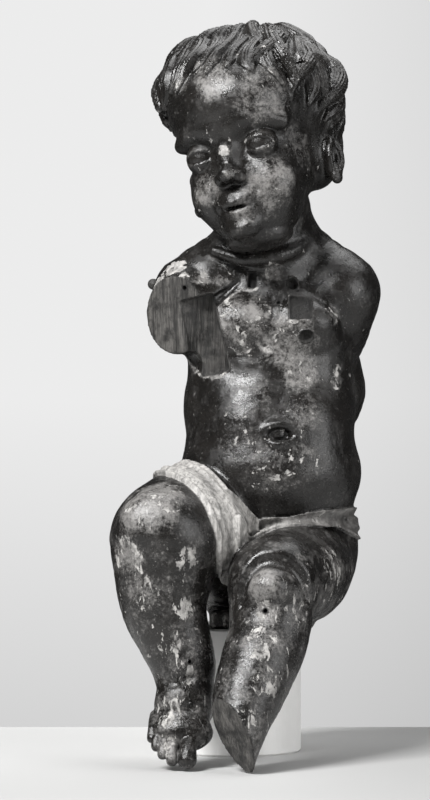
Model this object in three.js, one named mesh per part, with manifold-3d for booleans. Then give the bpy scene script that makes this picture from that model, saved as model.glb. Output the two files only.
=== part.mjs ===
// Seated putto: a carved and painted wooden figure of a plump infant with its legs hanging, its right arm and
// left foot lost, the peg that shows at its right shoulder, and the pale round block that it is seated on.
// Millimetres, +Z up. The figure faces -Y and its own left is +X. The origin is the centre of the block's underside.
import * as THREE from "three";
import Module from "manifold-3d";
import { mergeVertices } from "three/addons/utils/BufferGeometryUtils.js";

// Driving dimensions
const FIGURE_HEIGHT = 580; // from the floor that the toes reach to the top of the hair
const BLOCK_DIAMETER = 110;
const BLOCK_EDGE = 1.5; // the small chamfer round both rims of the block
const PEG_DIAMETER = 7;
const PEG_HEAD_DIAMETER = 9;
const PEG_PROUD = 6; // how far the peg's head stands out of the shoulder
const PEG_DEPTH = 26; // how far its shank goes into the wood
const FIT_GAP = 0.3; // between the peg and its hole, and between the figure and the block
const TOE_CLEARANCE = 0.6; // between the lowest toe and the floor

// Quality of the faceted surface
const CARVING_GRID = 4.6; // grid step of the first, fine surface
const FACETS = 8800; // triangles kept on the figure
const FACE_WEIGHT = 5; // how much more closely the head is followed than the rest

// The carving is set out in shares of the figure's height: one share is a 580th of it.
const share = FIGURE_HEIGHT / 580;
const at = (x, y, z) => [x * share, y * share, z * share];
const radians = THREE.MathUtils.degToRad;

// Levels that the pieces meet at
const BLOCK_HEIGHT = 100 * share;
const SEAT_LEVEL = BLOCK_HEIGHT + FIT_GAP;

// Signed distances, negative inside. A form is a function of a point's x, y and z.
const clamp01 = (t) => Math.min(1, Math.max(0, t));

function blend(a, b, k) {
  const h = Math.max(k - Math.abs(a - b), 0) / k;
  return Math.min(a, b) - h * h * k * 0.25;
}

// An ellipsoid, turned by Euler angles in degrees where they are given.
function egg(centre, radii, turn = [0, 0, 0]) {
  const [cx, cy, cz] = centre;
  const [rx, ry, rz] = radii.map((r) => r * share);
  const m = new THREE.Matrix4()
    .makeRotationFromEuler(new THREE.Euler(...turn.map(radians), "ZYX"))
    .invert().elements;
  return (x, y, z) => {
    const px = x - cx;
    const py = y - cy;
    const pz = z - cz;
    const qx = (m[0] * px + m[4] * py + m[8] * pz) / rx;
    const qy = (m[1] * px + m[5] * py + m[9] * pz) / ry;
    const qz = (m[2] * px + m[6] * py + m[10] * pz) / rz;
    const k0 = Math.hypot(qx, qy, qz);
    const k1 = Math.hypot(qx / rx, qy / ry, qz / rz);
    return k1 < 1e-9 ? -Math.min(rx, ry, rz) : (k0 * (k0 - 1)) / k1;
  };
}

// A limb or lock: a smooth round form through stations [x, y, z, radius], all in shares.
function limb(stations, steps = 4) {
  const points = stations.map(([x, y, z]) => new THREE.Vector3(...at(x, y, z)));
  const curve = new THREE.CatmullRomCurve3(points, false, "centripetal");
  const count = (stations.length - 1) * steps;
  const rings = [];
  for (let i = 0; i <= count; i++) {
    const t = i / count;
    const p = curve.getPoint(t);
    const place = Math.min(t * (stations.length - 1), stations.length - 1 - 1e-9);
    const n = Math.floor(place);
    const f = place - n;
    const r = stations[n][3] * (1 - f) + stations[n + 1][3] * f;
    rings.push([p.x, p.y, p.z, r * share]);
  }
  const box = new THREE.Box3();
  rings.forEach(([x, y, z, r]) => {
    box.expandByPoint(new THREE.Vector3(x - r, y - r, z - r));
    box.expandByPoint(new THREE.Vector3(x + r, y + r, z + r));
  });
  const { min, max } = box;
  return (x, y, z, reach = Infinity) => {
    const gx = Math.max(min.x - x, 0, x - max.x);
    const gy = Math.max(min.y - y, 0, y - max.y);
    const gz = Math.max(min.z - z, 0, z - max.z);
    const outside = Math.hypot(gx, gy, gz);
    if (outside > reach) return outside;
    let best = Infinity;
    for (let i = 0; i < count; i++) {
      const a = rings[i];
      const b = rings[i + 1];
      const dx = b[0] - a[0];
      const dy = b[1] - a[1];
      const dz = b[2] - a[2];
      const px = x - a[0];
      const py = y - a[1];
      const pz = z - a[2];
      const t = clamp01((px * dx + py * dy + pz * dz) / (dx * dx + dy * dy + dz * dz));
      const d = Math.hypot(px - t * dx, py - t * dy, pz - t * dz) - (a[3] + t * (b[3] - a[3]));
      if (d < best) best = d;
    }
    return best;
  };
}

// A box with rounded edges, by its half sizes.
function slab(centre, halves, round) {
  const [hx, hy, hz] = halves.map((h) => (h - round) * share);
  return (x, y, z) => {
    const gx = Math.abs(x - centre[0]) - hx;
    const gy = Math.abs(y - centre[1]) - hy;
    const gz = Math.abs(z - centre[2]) - hz;
    const outside = Math.hypot(Math.max(gx, 0), Math.max(gy, 0), Math.max(gz, 0));
    return outside + Math.min(Math.max(gx, gy, gz), 0) - round * share;
  };
}

// The figure's own right is -X, so side is -1 for the right and 1 for the left.
const SIDES = [-1, 1];

// Torso: [form, softness of its join with what comes before it]
const torso = [
  [egg(at(31, 3, 325), [67, 47, 58]), 1],
  [egg(at(30, 0, 275), [69, 51, 50]), 20],
  [egg(at(31, -9, 222), [72, 60, 54]), 22],
  [egg(at(32, 4, 165), [69, 54, 52]), 20],
  [egg(at(60, 26, 147), [38, 42, 41]), 14],
  [egg(at(-2, 26, 147), [40, 42, 41]), 14],
  [slab(at(23, -2, 107), [41, 48, 8], 5), 4],
  [egg(at(55, -30, 340), [27, 17, 20]), 10],
  [egg(at(7, -30, 340), [27, 17, 20]), 10],
  [limb([[34, 14, 380, 42], [30, 6, 402, 37], [26, 0, 432, 37]]), 16],
  [limb([[54, 12, 402, 22], [85, 11, 366, 33]]), 14],
  [limb([[8, 12, 398, 26], [-25, 9, 362, 39]]), 14],
];

// What is hollowed out of the torso: the navel, and the wood split away beside the lost arm
const torsoHollows = [
  [egg(at(36, -70, 254), [8, 8, 4.5]), 3],
  [slab(at(-12, -42, 329), [17, 7, 28], 3), 1.5],
];

const leftArm = [
  [limb([[82, 10, 364, 35], [82, 19, 342, 30], [77, 34, 318, 25]]), 8],
  [limb([[80, 44, 308, 25], [84, 53, 286, 25], [79, 61, 266, 21], [66, 66, 250, 16]]), 3],
  [egg(at(50, 66, 240), [20, 13, 17], [0, 25, 0]), 6],
];

const rightArmStub = [[limb([[-22, 6, 352, 33], [-60, -44, 342, 28]]), 10]];

const rightLeg = [
  [limb([[4, 0, 162, 46], [-28, -40, 182, 46], [-49, -88, 175, 44]]), 5],
  [
    limb([
      [-51, -98, 168, 43],
      [-53, -101, 146, 38],
      [-53, -104, 123, 33],
      [-46, -107, 100, 28.5],
      [-38, -111, 78, 25],
      [-36, -114, 62, 22],
    ]),
    8,
  ],
  [egg(at(-59, -122, 184), [27, 18, 25]), 12],
  [egg(at(-38, -124, 46), [22, 18, 24]), 6],
  [egg(at(-39, -135, 27), [24, 15, 15]), 8],
  [egg(at(-28, -104, 46), [14, 18, 20]), 8],
];

// Toes from the big one outwards: [x, y and z of the middle of the tip, radius]
const toes = [
  [-37, -155, 8.6, 7.6],
  [-46, -154, 8.4, 5.2],
  [-52, -151, 12.4, 4.9],
  [-57, -147, 17.4, 4.6],
  [-60.5, -142, 22.4, 4.3],
].map(([x, y, z, r]) => [
  limb([
    [x + 2, y + 17, z + 16, r],
    [x + 0.5, y + 5, z + 8, r * 0.92],
    [x, y, z, r],
  ]),
  2,
]);

const leftLeg = [
  [limb([[57, -4, 150, 41], [52, -48, 144, 40], [33, -106, 142, 35]]), 5],
  [
    limb([
      [30, -112, 135, 33],
      [28, -121, 102, 31],
      [20.5, -136, 81, 30],
      [12, -151, 59, 27],
      [6, -164, 39, 22],
      [1, -178, 15, 13.5],
      [0, -184, 4, 9],
    ]),
    8,
  ],
  [egg(at(27, -133, 138), [21, 17, 19]), 4],
];

// Cloth: bands that lie on the body, as stations [x, y, z, half width]
const clothBands = [
  limb([[-66, 10, 196, 18], [-54, -26, 222, 17], [-30, -44, 214, 15], [-12, -62, 190, 12], [3, -78, 160, 10]]),
  limb([[0, -76, 172, 12], [24, -72, 180, 9], [52, -62, 184, 8], [80, -40, 186, 9], [101, -4, 182, 13]]),
  limb([[-4, -74, 176, 12], [4, -84, 162, 11], [3, -84, 148, 6]]),
  limb([[2, -56, 150, 12], [0, -58, 124, 9]]),
];
const CLOTH_THICKNESS = 3.5 * share;
const CLOTH_FOLD = 1.3 * share; // how far a fold rises and falls
const FOLD_SPACING = 8 * share;

// Head, set out in its own frame: x to its left, y back, z up, from the middle of the skull
const HEAD_PLACE = at(15, -5, 506);
const HEAD_YAW = -23; // turned to its right
const HEAD_NOD = -1; // positive looks up
const HEAD_LEAN = 12; // the crown leans to its right
const headTurn = new THREE.Matrix4().makeRotationFromEuler(
  new THREE.Euler(radians(-HEAD_NOD), radians(-HEAD_LEAN), radians(HEAD_YAW), "ZYX"),
);

const skull = [
  [egg(at(0, 12, 6), [66, 70, 61]), 1],
  [egg(at(0, -36, 5), [50, 41, 41]), 14],
  [egg(at(0, -20, -46), [48, 48, 48]), 12],
  ...SIDES.map((s) => [egg(at(s * 38, 16, -40), [20, 28, 28]), 10]),
  ...SIDES.map((s) => [egg(at(s * 23, -43, -62), [21, 23, 23]), 12]),
  [egg(at(0, -32, -84), [33, 36, 21]), 10],
  [egg(at(0, -63, -92), [13, 12, 10]), 8],
  [limb([[0, -63, -18, 8], [0, -70, -44, 6.5]]), 9],
  [egg(at(0, -75, -51), [7.5, 9, 7]), 4],
  ...SIDES.map((s) => [egg(at(s * 8, -70, -53), [5.5, 7, 5.5]), 3]),
  [egg(at(0, -66, -72), [17, 9, 11]), 7],
  ...SIDES.map((s) => [limb([[s * 9, -68, -14, 5], [s * 27, -63, -11, 5], [s * 44, -49, -17, 5]]), 9]),
  ...SIDES.map((s) => [egg(at(s * 60, 7, -47), [7, 14, 20], [0, s * 8, s * 24]), 4]),
];
const faceHollows = [
  ...SIDES.map((s) => [egg(at(s * 26, -78, -30), [14, 14, 10]), 8]),
  ...SIDES.map((s) => [egg(at(s * 67, 1, -44), [5, 8, 13], [0, 0, s * 24]), 2]),
  [egg(at(0, -76, -77), [12, 9, 2.6]), 2],
];
const faceReliefs = [
  ...SIDES.map((s) => [egg(at(s * 25, -55, -31), [13.5, 13, 10]), 1.5]),
  [limb([[-10, -68, -74, 2.4], [0, -73, -72.5, 3.4], [10, -68, -74, 2.4]]), 2],
  [limb([[-8, -67, -81, 2.6], [0, -70.5, -82.5, 4], [8, -67, -81, 2.6]]), 2],
];

// Hair: tiers of locks that run down from the whorl, [first and last azimuth, count, upper and lower angle from
// the whorl, radius, how far a lock swings sideways, how far its middle stands off the skull]
const HAIR_TILT = 24; // the whorl lies this far behind the top of the skull
const hairTiers = [
  { from: 95, to: 265, count: 9, top: 70, tip: 122, radius: 12, swing: 7, lift: 2 },
  { from: 70, to: 290, count: 12, top: 45, tip: 98, radius: 12, swing: -8, lift: 4 },
  { from: -74, to: 60, count: 9, top: 44, tip: 92, radius: 10, swing: 10, lift: 7 },
  { from: 0, to: 330, count: 12, top: 12, tip: 62, radius: 11, swing: 9, lift: 4 },
];
const sideLocks = [
  { azimuth: 80, top: 64, tip: 108, radius: 14, swing: 6, lift: 12 },
  { azimuth: 58, top: 46, tip: 98, radius: 11, swing: -8, lift: 7 },
  { azimuth: 104, top: 66, tip: 128, radius: 13, swing: 6, lift: 3 },
  { azimuth: -70, top: 36, tip: 90, radius: 13, swing: -6, lift: 15 },
  { azimuth: -90, top: 42, tip: 96, radius: 14, swing: -6, lift: 15 },
  { azimuth: -60, top: 10, tip: 62, radius: 13, swing: 8, lift: 13 },
  { azimuth: -98, top: 12, tip: 66, radius: 13, swing: 8, lift: 15 },
];

function onSkull(azimuth, angle, lift) {
  const a = radians(azimuth);
  const p = radians(angle);
  const direction = new THREE.Vector3(Math.sin(a) * Math.sin(p), -Math.cos(a) * Math.sin(p), Math.cos(p));
  direction.applyAxisAngle(new THREE.Vector3(1, 0, 0), radians(-HAIR_TILT));
  return [(66 + lift) * direction.x, 5 + (77 + lift) * direction.y, 3 + (64 + lift) * direction.z];
}

function lock({ azimuth, top, tip, radius, swing, lift }) {
  const stations = [];
  for (const t of [0, 0.25, 0.5, 0.75, 1]) {
    const side = azimuth + swing * Math.sin(Math.PI * 1.5 * t);
    const stand = lift * Math.sin(Math.PI * Math.min(1, 0.15 + t * 0.8)) - 1;
    const thick = radius * (0.62 + 0.38 * Math.sin(Math.PI * t)) * (1 - 0.45 * t * t);
    stations.push([...onSkull(side, top + (tip - top) * t, stand - radius * 0.35), thick]);
  }
  return [limb(stations, 3), 2];
}

const hair = [
  ...hairTiers.flatMap(({ from, to, count, ...kind }, tier) =>
    Array.from({ length: count }, (_, i) => {
      const azimuth = from + ((to - from) * i) / (count - 1);
      const turn = Math.sin(i * 2.3 + tier);
      return lock({ ...kind, azimuth, tip: kind.tip + 5 * turn, swing: kind.swing * (1 + 0.4 * turn) });
    }),
  ),
  ...sideLocks.map(lock),
];

const added = (forms, start, x, y, z) =>
  forms.reduce((d, [form, k]) => blend(d, form(x, y, z, d + 12), k * share), start);
const hollowed = (forms, start, x, y, z) =>
  forms.reduce((d, [form, k]) => -blend(-d, form(x, y, z), k * share), start);

const toHead = new THREE.Matrix4()
  .makeTranslation(...HEAD_PLACE)
  .multiply(headTurn)
  .invert().elements;
const HEAD_REACH = 125 * share;

function headField(x, y, z) {
  const m = toHead;
  const hx = m[0] * x + m[4] * y + m[8] * z + m[12];
  const hy = m[1] * x + m[5] * y + m[9] * z + m[13];
  const hz = m[2] * x + m[6] * y + m[10] * z + m[14];
  const away = Math.hypot(hx, hy, hz + 15 * share) - HEAD_REACH;
  if (away > 20 * share) return away;
  let d = added(skull, Infinity, hx, hy, hz);
  d = hollowed(faceHollows, d, hx, hy, hz);
  d = added(faceReliefs, d, hx, hy, hz);
  return added(hair, d, hx, hy, hz);
}

function figureField(x, y, z) {
  let d = hollowed(torsoHollows, added(torso, Infinity, x, y, z), x, y, z);
  d = added(leftArm, d, x, y, z);
  d = added(rightArmStub, d, x, y, z);
  const right = added(toes, added(rightLeg, Infinity, x, y, z), x, y, z);
  const left = added(leftLeg, Infinity, x, y, z);
  d = blend(blend(d, right, 5 * share), left, 5 * share);
  const band = clothBands.reduce((least, form) => Math.min(least, form(x, y, z)), Infinity);
  const fold = CLOTH_FOLD * Math.cos((2 * Math.PI * band) / FOLD_SPACING);
  const cloth = -blend(-(d - CLOTH_THICKNESS - fold), -band, 3 * share);
  d = Math.min(d, cloth);
  return blend(d, headField(x, y, z), 6 * share);
}

// The surface of a field where it is zero, by marching tetrahedra over a box, as shared vertices and triangles.
function surfaceOf(field, box, step) {
  const size = box.getSize(new THREE.Vector3());
  const [nx, ny, nz] = size.toArray().map((s) => Math.ceil(s / step) + 1);
  const index = (i, j, k) => (k * ny + j) * nx + i;
  const values = new Float32Array(nx * ny * nz).fill(1e9);
  const known = new Uint8Array(nx * ny * nz);
  const BLOCK = 4;
  const reach = BLOCK * step * 1.3;
  const blocks = [];
  for (let k = 0; k < nz - 1; k += BLOCK)
    for (let j = 0; j < ny - 1; j += BLOCK)
      for (let i = 0; i < nx - 1; i += BLOCK) {
        const half = (BLOCK * step) / 2;
        const d = field(box.min.x + i * step + half, box.min.y + j * step + half, box.min.z + k * step + half);
        if (Math.abs(d) > reach) continue;
        blocks.push([i, j, k]);
        for (let c = k; c <= Math.min(k + BLOCK, nz - 1); c++)
          for (let b = j; b <= Math.min(j + BLOCK, ny - 1); b++)
            for (let a = i; a <= Math.min(i + BLOCK, nx - 1); a++) {
              const n = index(a, b, c);
              if (known[n]) continue;
              known[n] = 1;
              values[n] = field(box.min.x + a * step, box.min.y + b * step, box.min.z + c * step);
            }
      }
  const CORNERS = [[0, 0, 0], [1, 0, 0], [0, 1, 0], [1, 1, 0], [0, 0, 1], [1, 0, 1], [0, 1, 1], [1, 1, 1]];
  const TETRAHEDRA = [[0, 1, 3, 7], [0, 3, 2, 7], [0, 2, 6, 7], [0, 6, 4, 7], [0, 4, 5, 7], [0, 5, 1, 7]];
  const places = [];
  const faces = [];
  const crossings = new Map();
  const position = (n) => {
    const i = n % nx;
    const j = Math.floor(n / nx) % ny;
    const k = Math.floor(n / (nx * ny));
    return [box.min.x + i * step, box.min.y + j * step, box.min.z + k * step];
  };
  const crossing = (a, b) => {
    const low = Math.min(a, b);
    const high = Math.max(a, b);
    const key = low * values.length + high;
    if (crossings.has(key)) return crossings.get(key);
    const t = Math.min(0.96, Math.max(0.04, values[low] / (values[low] - values[high])));
    const p = position(low);
    const q = position(high);
    places.push(...p.map((v, axis) => v + t * (q[axis] - v)));
    crossings.set(key, places.length / 3 - 1);
    return places.length / 3 - 1;
  };
  for (const [bi, bj, bk] of blocks)
    for (let k = bk; k < Math.min(bk + BLOCK, nz - 1); k++)
      for (let j = bj; j < Math.min(bj + BLOCK, ny - 1); j++)
        for (let i = bi; i < Math.min(bi + BLOCK, nx - 1); i++) {
          const cell = CORNERS.map(([a, b, c]) => index(i + a, j + b, k + c));
          const inside = cell.filter((n) => values[n] < 0).length;
          if (inside === 0 || inside === 8) continue;
          for (const tetrahedron of TETRAHEDRA) {
            const corners = tetrahedron.map((c) => cell[c]);
            const within = corners.filter((n) => values[n] < 0);
            const without = corners.filter((n) => values[n] >= 0);
            if (!within.length || !without.length) continue;
            const ring =
              within.length === 1
                ? without.map((n) => crossing(within[0], n))
                : without.length === 1
                  ? within.map((n) => crossing(n, without[0]))
                  : [
                      crossing(within[0], without[0]),
                      crossing(within[0], without[1]),
                      crossing(within[1], without[1]),
                      crossing(within[1], without[0]),
                    ];
            const triangle = [ring[0], ring[1], ring[2]];
            const [p, q, r] = triangle.map((n) => new THREE.Vector3().fromArray(places, 3 * n));
            const normal = q.sub(p).cross(r.sub(p));
            const outward = new THREE.Vector3(...position(without[0])).sub(p);
            if (normal.dot(outward) < 0) ring.reverse();
            faces.push([ring[0], ring[1], ring[2]]);
            if (ring.length === 4) faces.push([ring[0], ring[2], ring[3]]);
          }
        }
  return { places, faces };
}

// Fewer triangles, by closing the edges that move the surface least. Each vertex carries the sum of its planes.
function simplified({ places, faces }, wanted, weightAt) {
  const vertexCount = places.length / 3;
  const place = Array.from({ length: vertexCount }, (_, i) => places.slice(3 * i, 3 * i + 3));
  const planes = place.map(() => new Float64Array(10));
  const fans = place.map(() => new Set());
  const cross = (a, b, c) => {
    const [ux, uy, uz] = [b[0] - a[0], b[1] - a[1], b[2] - a[2]];
    const [vx, vy, vz] = [c[0] - a[0], c[1] - a[1], c[2] - a[2]];
    return [uy * vz - uz * vy, uz * vx - ux * vz, ux * vy - uy * vx];
  };
  faces.forEach((face, n) => {
    const [a, b, c] = face.map((v) => place[v]);
    const normal = cross(a, b, c);
    const area = Math.hypot(...normal);
    if (area > 1e-12) {
      const [x, y, z] = normal.map((v) => v / area);
      const w = -(x * a[0] + y * a[1] + z * a[2]);
      const terms = [x * x, x * y, x * z, x * w, y * y, y * z, y * w, z * z, z * w, w * w];
      const weight = area * weightAt(a);
      for (const v of face) terms.forEach((term, i) => (planes[v][i] += term * weight));
    }
    face.forEach((v) => fans[v].add(n));
  });
  const error = (q, [x, y, z]) =>
    q[0] * x * x + 2 * q[1] * x * y + 2 * q[2] * x * z + 2 * q[3] * x + q[4] * y * y +
    2 * q[5] * y * z + 2 * q[6] * y + q[7] * z * z + 2 * q[8] * z + q[9];
  const best = (a, b) => {
    const q = planes[a].map((v, i) => v + planes[b][i]);
    const middle = place[a].map((v, i) => (v + place[b][i]) / 2);
    const options = [middle, place[a], place[b]];
    const m = new THREE.Matrix3().set(q[0], q[1], q[2], q[1], q[4], q[5], q[2], q[5], q[7]);
    if (Math.abs(m.determinant()) > 1e-6) {
      const p = new THREE.Vector3(-q[3], -q[6], -q[8]).applyMatrix3(m.invert()).toArray();
      const shift = Math.hypot(...p.map((v, i) => v - middle[i]));
      const length = Math.hypot(...place[a].map((v, i) => v - place[b][i]));
      if (shift < length) options.unshift(p);
    }
    const costs = options.map((p) => error(q, p));
    const least = Math.min(...costs);
    return { cost: least, p: options[costs.indexOf(least)], q };
  };
  const heap = [];
  const push = (item) => {
    let n = heap.push(item) - 1;
    while (n && heap[(n - 1) >> 1].cost > heap[n].cost) {
      const up = (n - 1) >> 1;
      [heap[n], heap[up]] = [heap[up], heap[n]];
      n = up;
    }
  };
  const pop = () => {
    const top = heap[0];
    const last = heap.pop();
    if (!heap.length) return top;
    heap[0] = last;
    for (let n = 0; ; ) {
      const l = 2 * n + 1;
      const r = l + 1;
      let least = n;
      if (l < heap.length && heap[l].cost < heap[least].cost) least = l;
      if (r < heap.length && heap[r].cost < heap[least].cost) least = r;
      if (least === n) return top;
      [heap[n], heap[least]] = [heap[least], heap[n]];
      n = least;
    }
  };
  const age = new Uint32Array(vertexCount);
  const neighbours = (v) => {
    const found = new Set();
    for (const n of fans[v]) for (const u of faces[n]) if (u !== v) found.add(u);
    return found;
  };
  const offer = (a, b) => push({ a, b, ages: age[a] + age[b], ...best(a, b) });
  place.forEach((_, a) => neighbours(a).forEach((b) => a < b && offer(a, b)));
  const flips = (v, other, p) => {
    for (const n of fans[v]) {
      if (faces[n].includes(other)) continue;
      const before = cross(...faces[n].map((u) => place[u]));
      const after = cross(...faces[n].map((u) => (u === v ? p : place[u])));
      const turned = before[0] * after[0] + before[1] * after[1] + before[2] * after[2];
      if (turned < 0.25 * Math.hypot(...before) * Math.hypot(...after)) return true;
    }
    return false;
  };
  let left = faces.length;
  while (left > wanted && heap.length) {
    const { a, b, p, q, ages } = pop();
    if (!fans[a].size || !fans[b].size || ages !== age[a] + age[b]) continue;
    const around = neighbours(a);
    if (!around.has(b)) continue;
    const shared = [...neighbours(b)].filter((v) => around.has(v));
    if (shared.length !== 2 || flips(a, b, p) || flips(b, a, p)) continue;
    for (const n of [...fans[b]]) {
      if (faces[n].includes(a)) {
        faces[n].forEach((v) => fans[v].delete(n));
        faces[n] = null;
        left--;
      } else {
        faces[n] = faces[n].map((v) => (v === b ? a : v));
        fans[a].add(n);
      }
    }
    fans[b].clear();
    place[a] = p;
    planes[a] = q;
    age[a]++;
    age[b]++;
    neighbours(a).forEach((v) => offer(a, v));
  }
  return { places: place.flat(), faces: faces.filter(Boolean) };
}

// Solids for cutting, with manifold-3d
const wasm = await Module();
wasm.setup();

const manifoldOf = (vertProperties, triVerts) => {
  const mesh = new wasm.Mesh({ numProp: 3, vertProperties, triVerts });
  mesh.merge();
  return new wasm.Manifold(mesh);
};

function solid(geometry, matrix = new THREE.Matrix4()) {
  const plain = geometry.clone().applyMatrix4(matrix);
  plain.deleteAttribute("normal");
  plain.deleteAttribute("uv");
  const merged = mergeVertices(plain, 1e-4);
  return manifoldOf(new Float32Array(merged.attributes.position.array), new Uint32Array(merged.index.array));
}

function geometryOf(made) {
  const { vertProperties, triVerts, numProp } = made.getMesh();
  const positions = new Float32Array((vertProperties.length / numProp) * 3);
  for (let i = 0; i < positions.length / 3; i++)
    positions.set(vertProperties.subarray(i * numProp, i * numProp + 3), i * 3);
  const geometry = new THREE.BufferGeometry();
  geometry.setAttribute("position", new THREE.BufferAttribute(positions, 3));
  geometry.setIndex(new THREE.BufferAttribute(new Uint32Array(triVerts), 1));
  geometry.computeVertexNormals();
  return geometry;
}

// A matrix that carries +Z to the given direction, from the given place.
const facing = (place, direction) =>
  new THREE.Matrix4().compose(
    new THREE.Vector3(...place),
    new THREE.Quaternion().setFromUnitVectors(new THREE.Vector3(0, 0, 1), direction.clone().normalize()),
    new THREE.Vector3(1, 1, 1),
  );

// A box that takes off everything past a plane, in the plane's own direction.
function pastPlane(place, direction, width, depth) {
  const box = new THREE.BoxGeometry(width, width, depth);
  box.translate(0, 0, depth / 2);
  return solid(box, facing(place, direction));
}

// Joint faces: where the lost arm and foot were fixed
const SHOULDER_FACE = at(-44, -24, 344);
const SHOULDER_FACING = new THREE.Vector3(-0.62, -0.78, -0.05);
const ANKLE_FACE = at(-3, -168, 29);
const ANKLE_FACING = new THREE.Vector3(-0.72, -0.5, -0.48);

// The space round the left shin, which its cut stays within
function aroundShin() {
  const space = new THREE.CylinderGeometry(27 * share, 27 * share, 120 * share, 32);
  space.rotateX(Math.PI / 2);
  return solid(space, facing(at(3, -176, 22), new THREE.Vector3(0.16, 0.45, 0.88)));
}

// Recesses in the chest, where something was once fixed: [x, z, width, height, depth, whether it is round]
const RECESSES = [
  [54, 355, 17, 19, 3.5, false],
  [15.5, 375, 7, 11, 3, false],
  [47.5, 371, 9, 9, 4, true],
  [55, 331, 9, 11, 3.5, true],
];

// Where a line along Y meets the figure's front, and the way the surface faces there
function frontAt(x, z) {
  let outside = -150 * share;
  let inside = 0;
  for (let i = 0; i < 30; i++) {
    const middle = (outside + inside) / 2;
    if (figureField(x, middle, z) > 0) outside = middle;
    else inside = middle;
  }
  const step = 6 * share;
  const slope = (dx, dz) => figureField(x + dx, inside, z + dz) - figureField(x - dx, inside, z - dz);
  const away = figureField(x, inside + step, z) - figureField(x, inside - step, z);
  return [[x, inside, z], new THREE.Vector3(slope(step, 0), away, slope(0, step))];
}

function recess([x, z, width, height, depth, round]) {
  const long = (depth + 12) * share;
  const shape = round
    ? new THREE.CylinderGeometry(share, share, long, 24)
    : new THREE.BoxGeometry(2 * share, long, 2 * share);
  shape.scale(width / 2, 1, height / 2);
  shape.rotateX(Math.PI / 2);
  shape.translate(0, 0, long / 2 - depth * share);
  const [place, facingWay] = frontAt(x * share, z * share);
  return solid(shape, facing(place, facingWay));
}

// The peg, from its hidden end to its rounded head
const PEG_PLACE = at(-62, 22, 373);
const PEG_DIRECTION = new THREE.Vector3(-0.95, 0.05, 0.28);

function pegProfile(gap) {
  const shank = PEG_DIAMETER / 2 + gap;
  const head = PEG_HEAD_DIAMETER / 2 + gap;
  const profile = [new THREE.Vector2(0, -PEG_DEPTH - gap), new THREE.Vector2(shank, -PEG_DEPTH - gap)];
  profile.push(new THREE.Vector2(shank, -gap), new THREE.Vector2(head, -gap));
  const HEAD_RINGS = 4;
  for (let i = 0; i <= HEAD_RINGS; i++) {
    const a = (i / HEAD_RINGS) * (Math.PI / 2);
    profile.push(new THREE.Vector2(head * Math.cos(a), PEG_PROUD - head + head * Math.sin(a) + gap));
  }
  return profile;
}

function pegSolid(gap) {
  const turned = new THREE.LatheGeometry(pegProfile(gap), 16);
  turned.rotateX(Math.PI / 2);
  return solid(turned, facing(PEG_PLACE, PEG_DIRECTION));
}

function puttoGeometry() {
  const bounds = new THREE.Box3(
    new THREE.Vector3(...at(-115, -215, -30)),
    new THREE.Vector3(...at(135, 110, 600)),
  );
  const headLow = HEAD_PLACE[2] - 112 * share;
  const weightAt = ([, , z]) => (z > headLow ? FACE_WEIGHT : 1);
  const { places, faces } = simplified(surfaceOf(figureField, bounds, CARVING_GRID), FACETS, weightAt);
  const carved = manifoldOf(new Float32Array(places), new Uint32Array(faces.flat()));
  const wide = FIGURE_HEIGHT;
  const seatCut = new THREE.BoxGeometry(BLOCK_DIAMETER * 1.6, 100 * share + BLOCK_DIAMETER, SEAT_LEVEL);
  seatCut.translate(30 * share, (100 * share + BLOCK_DIAMETER) / 2 - 60 * share, SEAT_LEVEL / 2);
  const cuts = [
    pastPlane(SHOULDER_FACE, SHOULDER_FACING, 80 * share, 60 * share),
    pastPlane(ANKLE_FACE, ANKLE_FACING, 90 * share, 60 * share).intersect(aroundShin()),
    pegSolid(FIT_GAP),
    ...RECESSES.map(recess),
    solid(seatCut),
    pastPlane([0, 0, TOE_CLEARANCE], new THREE.Vector3(0, 0, -1), wide, 40 * share),
  ];
  const left = cuts.reduce((made, cut) => made.subtract(cut), carved);
  const largest = left.decompose().sort((a, b) => b.volume() - a.volume())[0];
  return geometryOf(largest);
}

function blockGeometry() {
  const r = BLOCK_DIAMETER / 2;
  const profile = [
    [0, 0],
    [r - BLOCK_EDGE, 0],
    [r, BLOCK_EDGE],
    [r, BLOCK_HEIGHT - BLOCK_EDGE],
    [r - BLOCK_EDGE, BLOCK_HEIGHT],
    [0, BLOCK_HEIGHT],
  ].map(([x, y]) => new THREE.Vector2(x, y));
  const turned = new THREE.LatheGeometry(profile, 56);
  turned.rotateX(Math.PI / 2);
  return turned;
}

const painted = new THREE.MeshStandardMaterial({ color: 0x3a302a, roughness: 0.42, metalness: 0 });
const pegWood = new THREE.MeshStandardMaterial({ color: 0x2e2620, roughness: 0.6, metalness: 0 });
const pale = new THREE.MeshStandardMaterial({ color: 0xd9d6cf, roughness: 0.8, metalness: 0 });

const pieces = {
  putto: [puttoGeometry(), painted],
  shoulder_peg: [geometryOf(pegSolid(0)), pegWood],
  support_block: [blockGeometry(), pale],
};

const statue = new THREE.Group();
for (const [name, [geometry, material]] of Object.entries(pieces)) {
  const piece = new THREE.Mesh(geometry, material);
  piece.name = name;
  statue.add(piece);
}

export default statue;
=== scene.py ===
"""The looks of a seated putto: a carved and painted wooden infant, broken and worn, on a pale round block.

The carving is built up from rounded forms, as a carver blocks out a figure: the same forms as the solid's,
with the finer cutting of hair, face, cloth, fingers and toes. Lengths inside the carving are in millimetres,
and pieces are made in metres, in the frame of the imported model: the figure faces -Y and its own left is +X.
"""
import math

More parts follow.
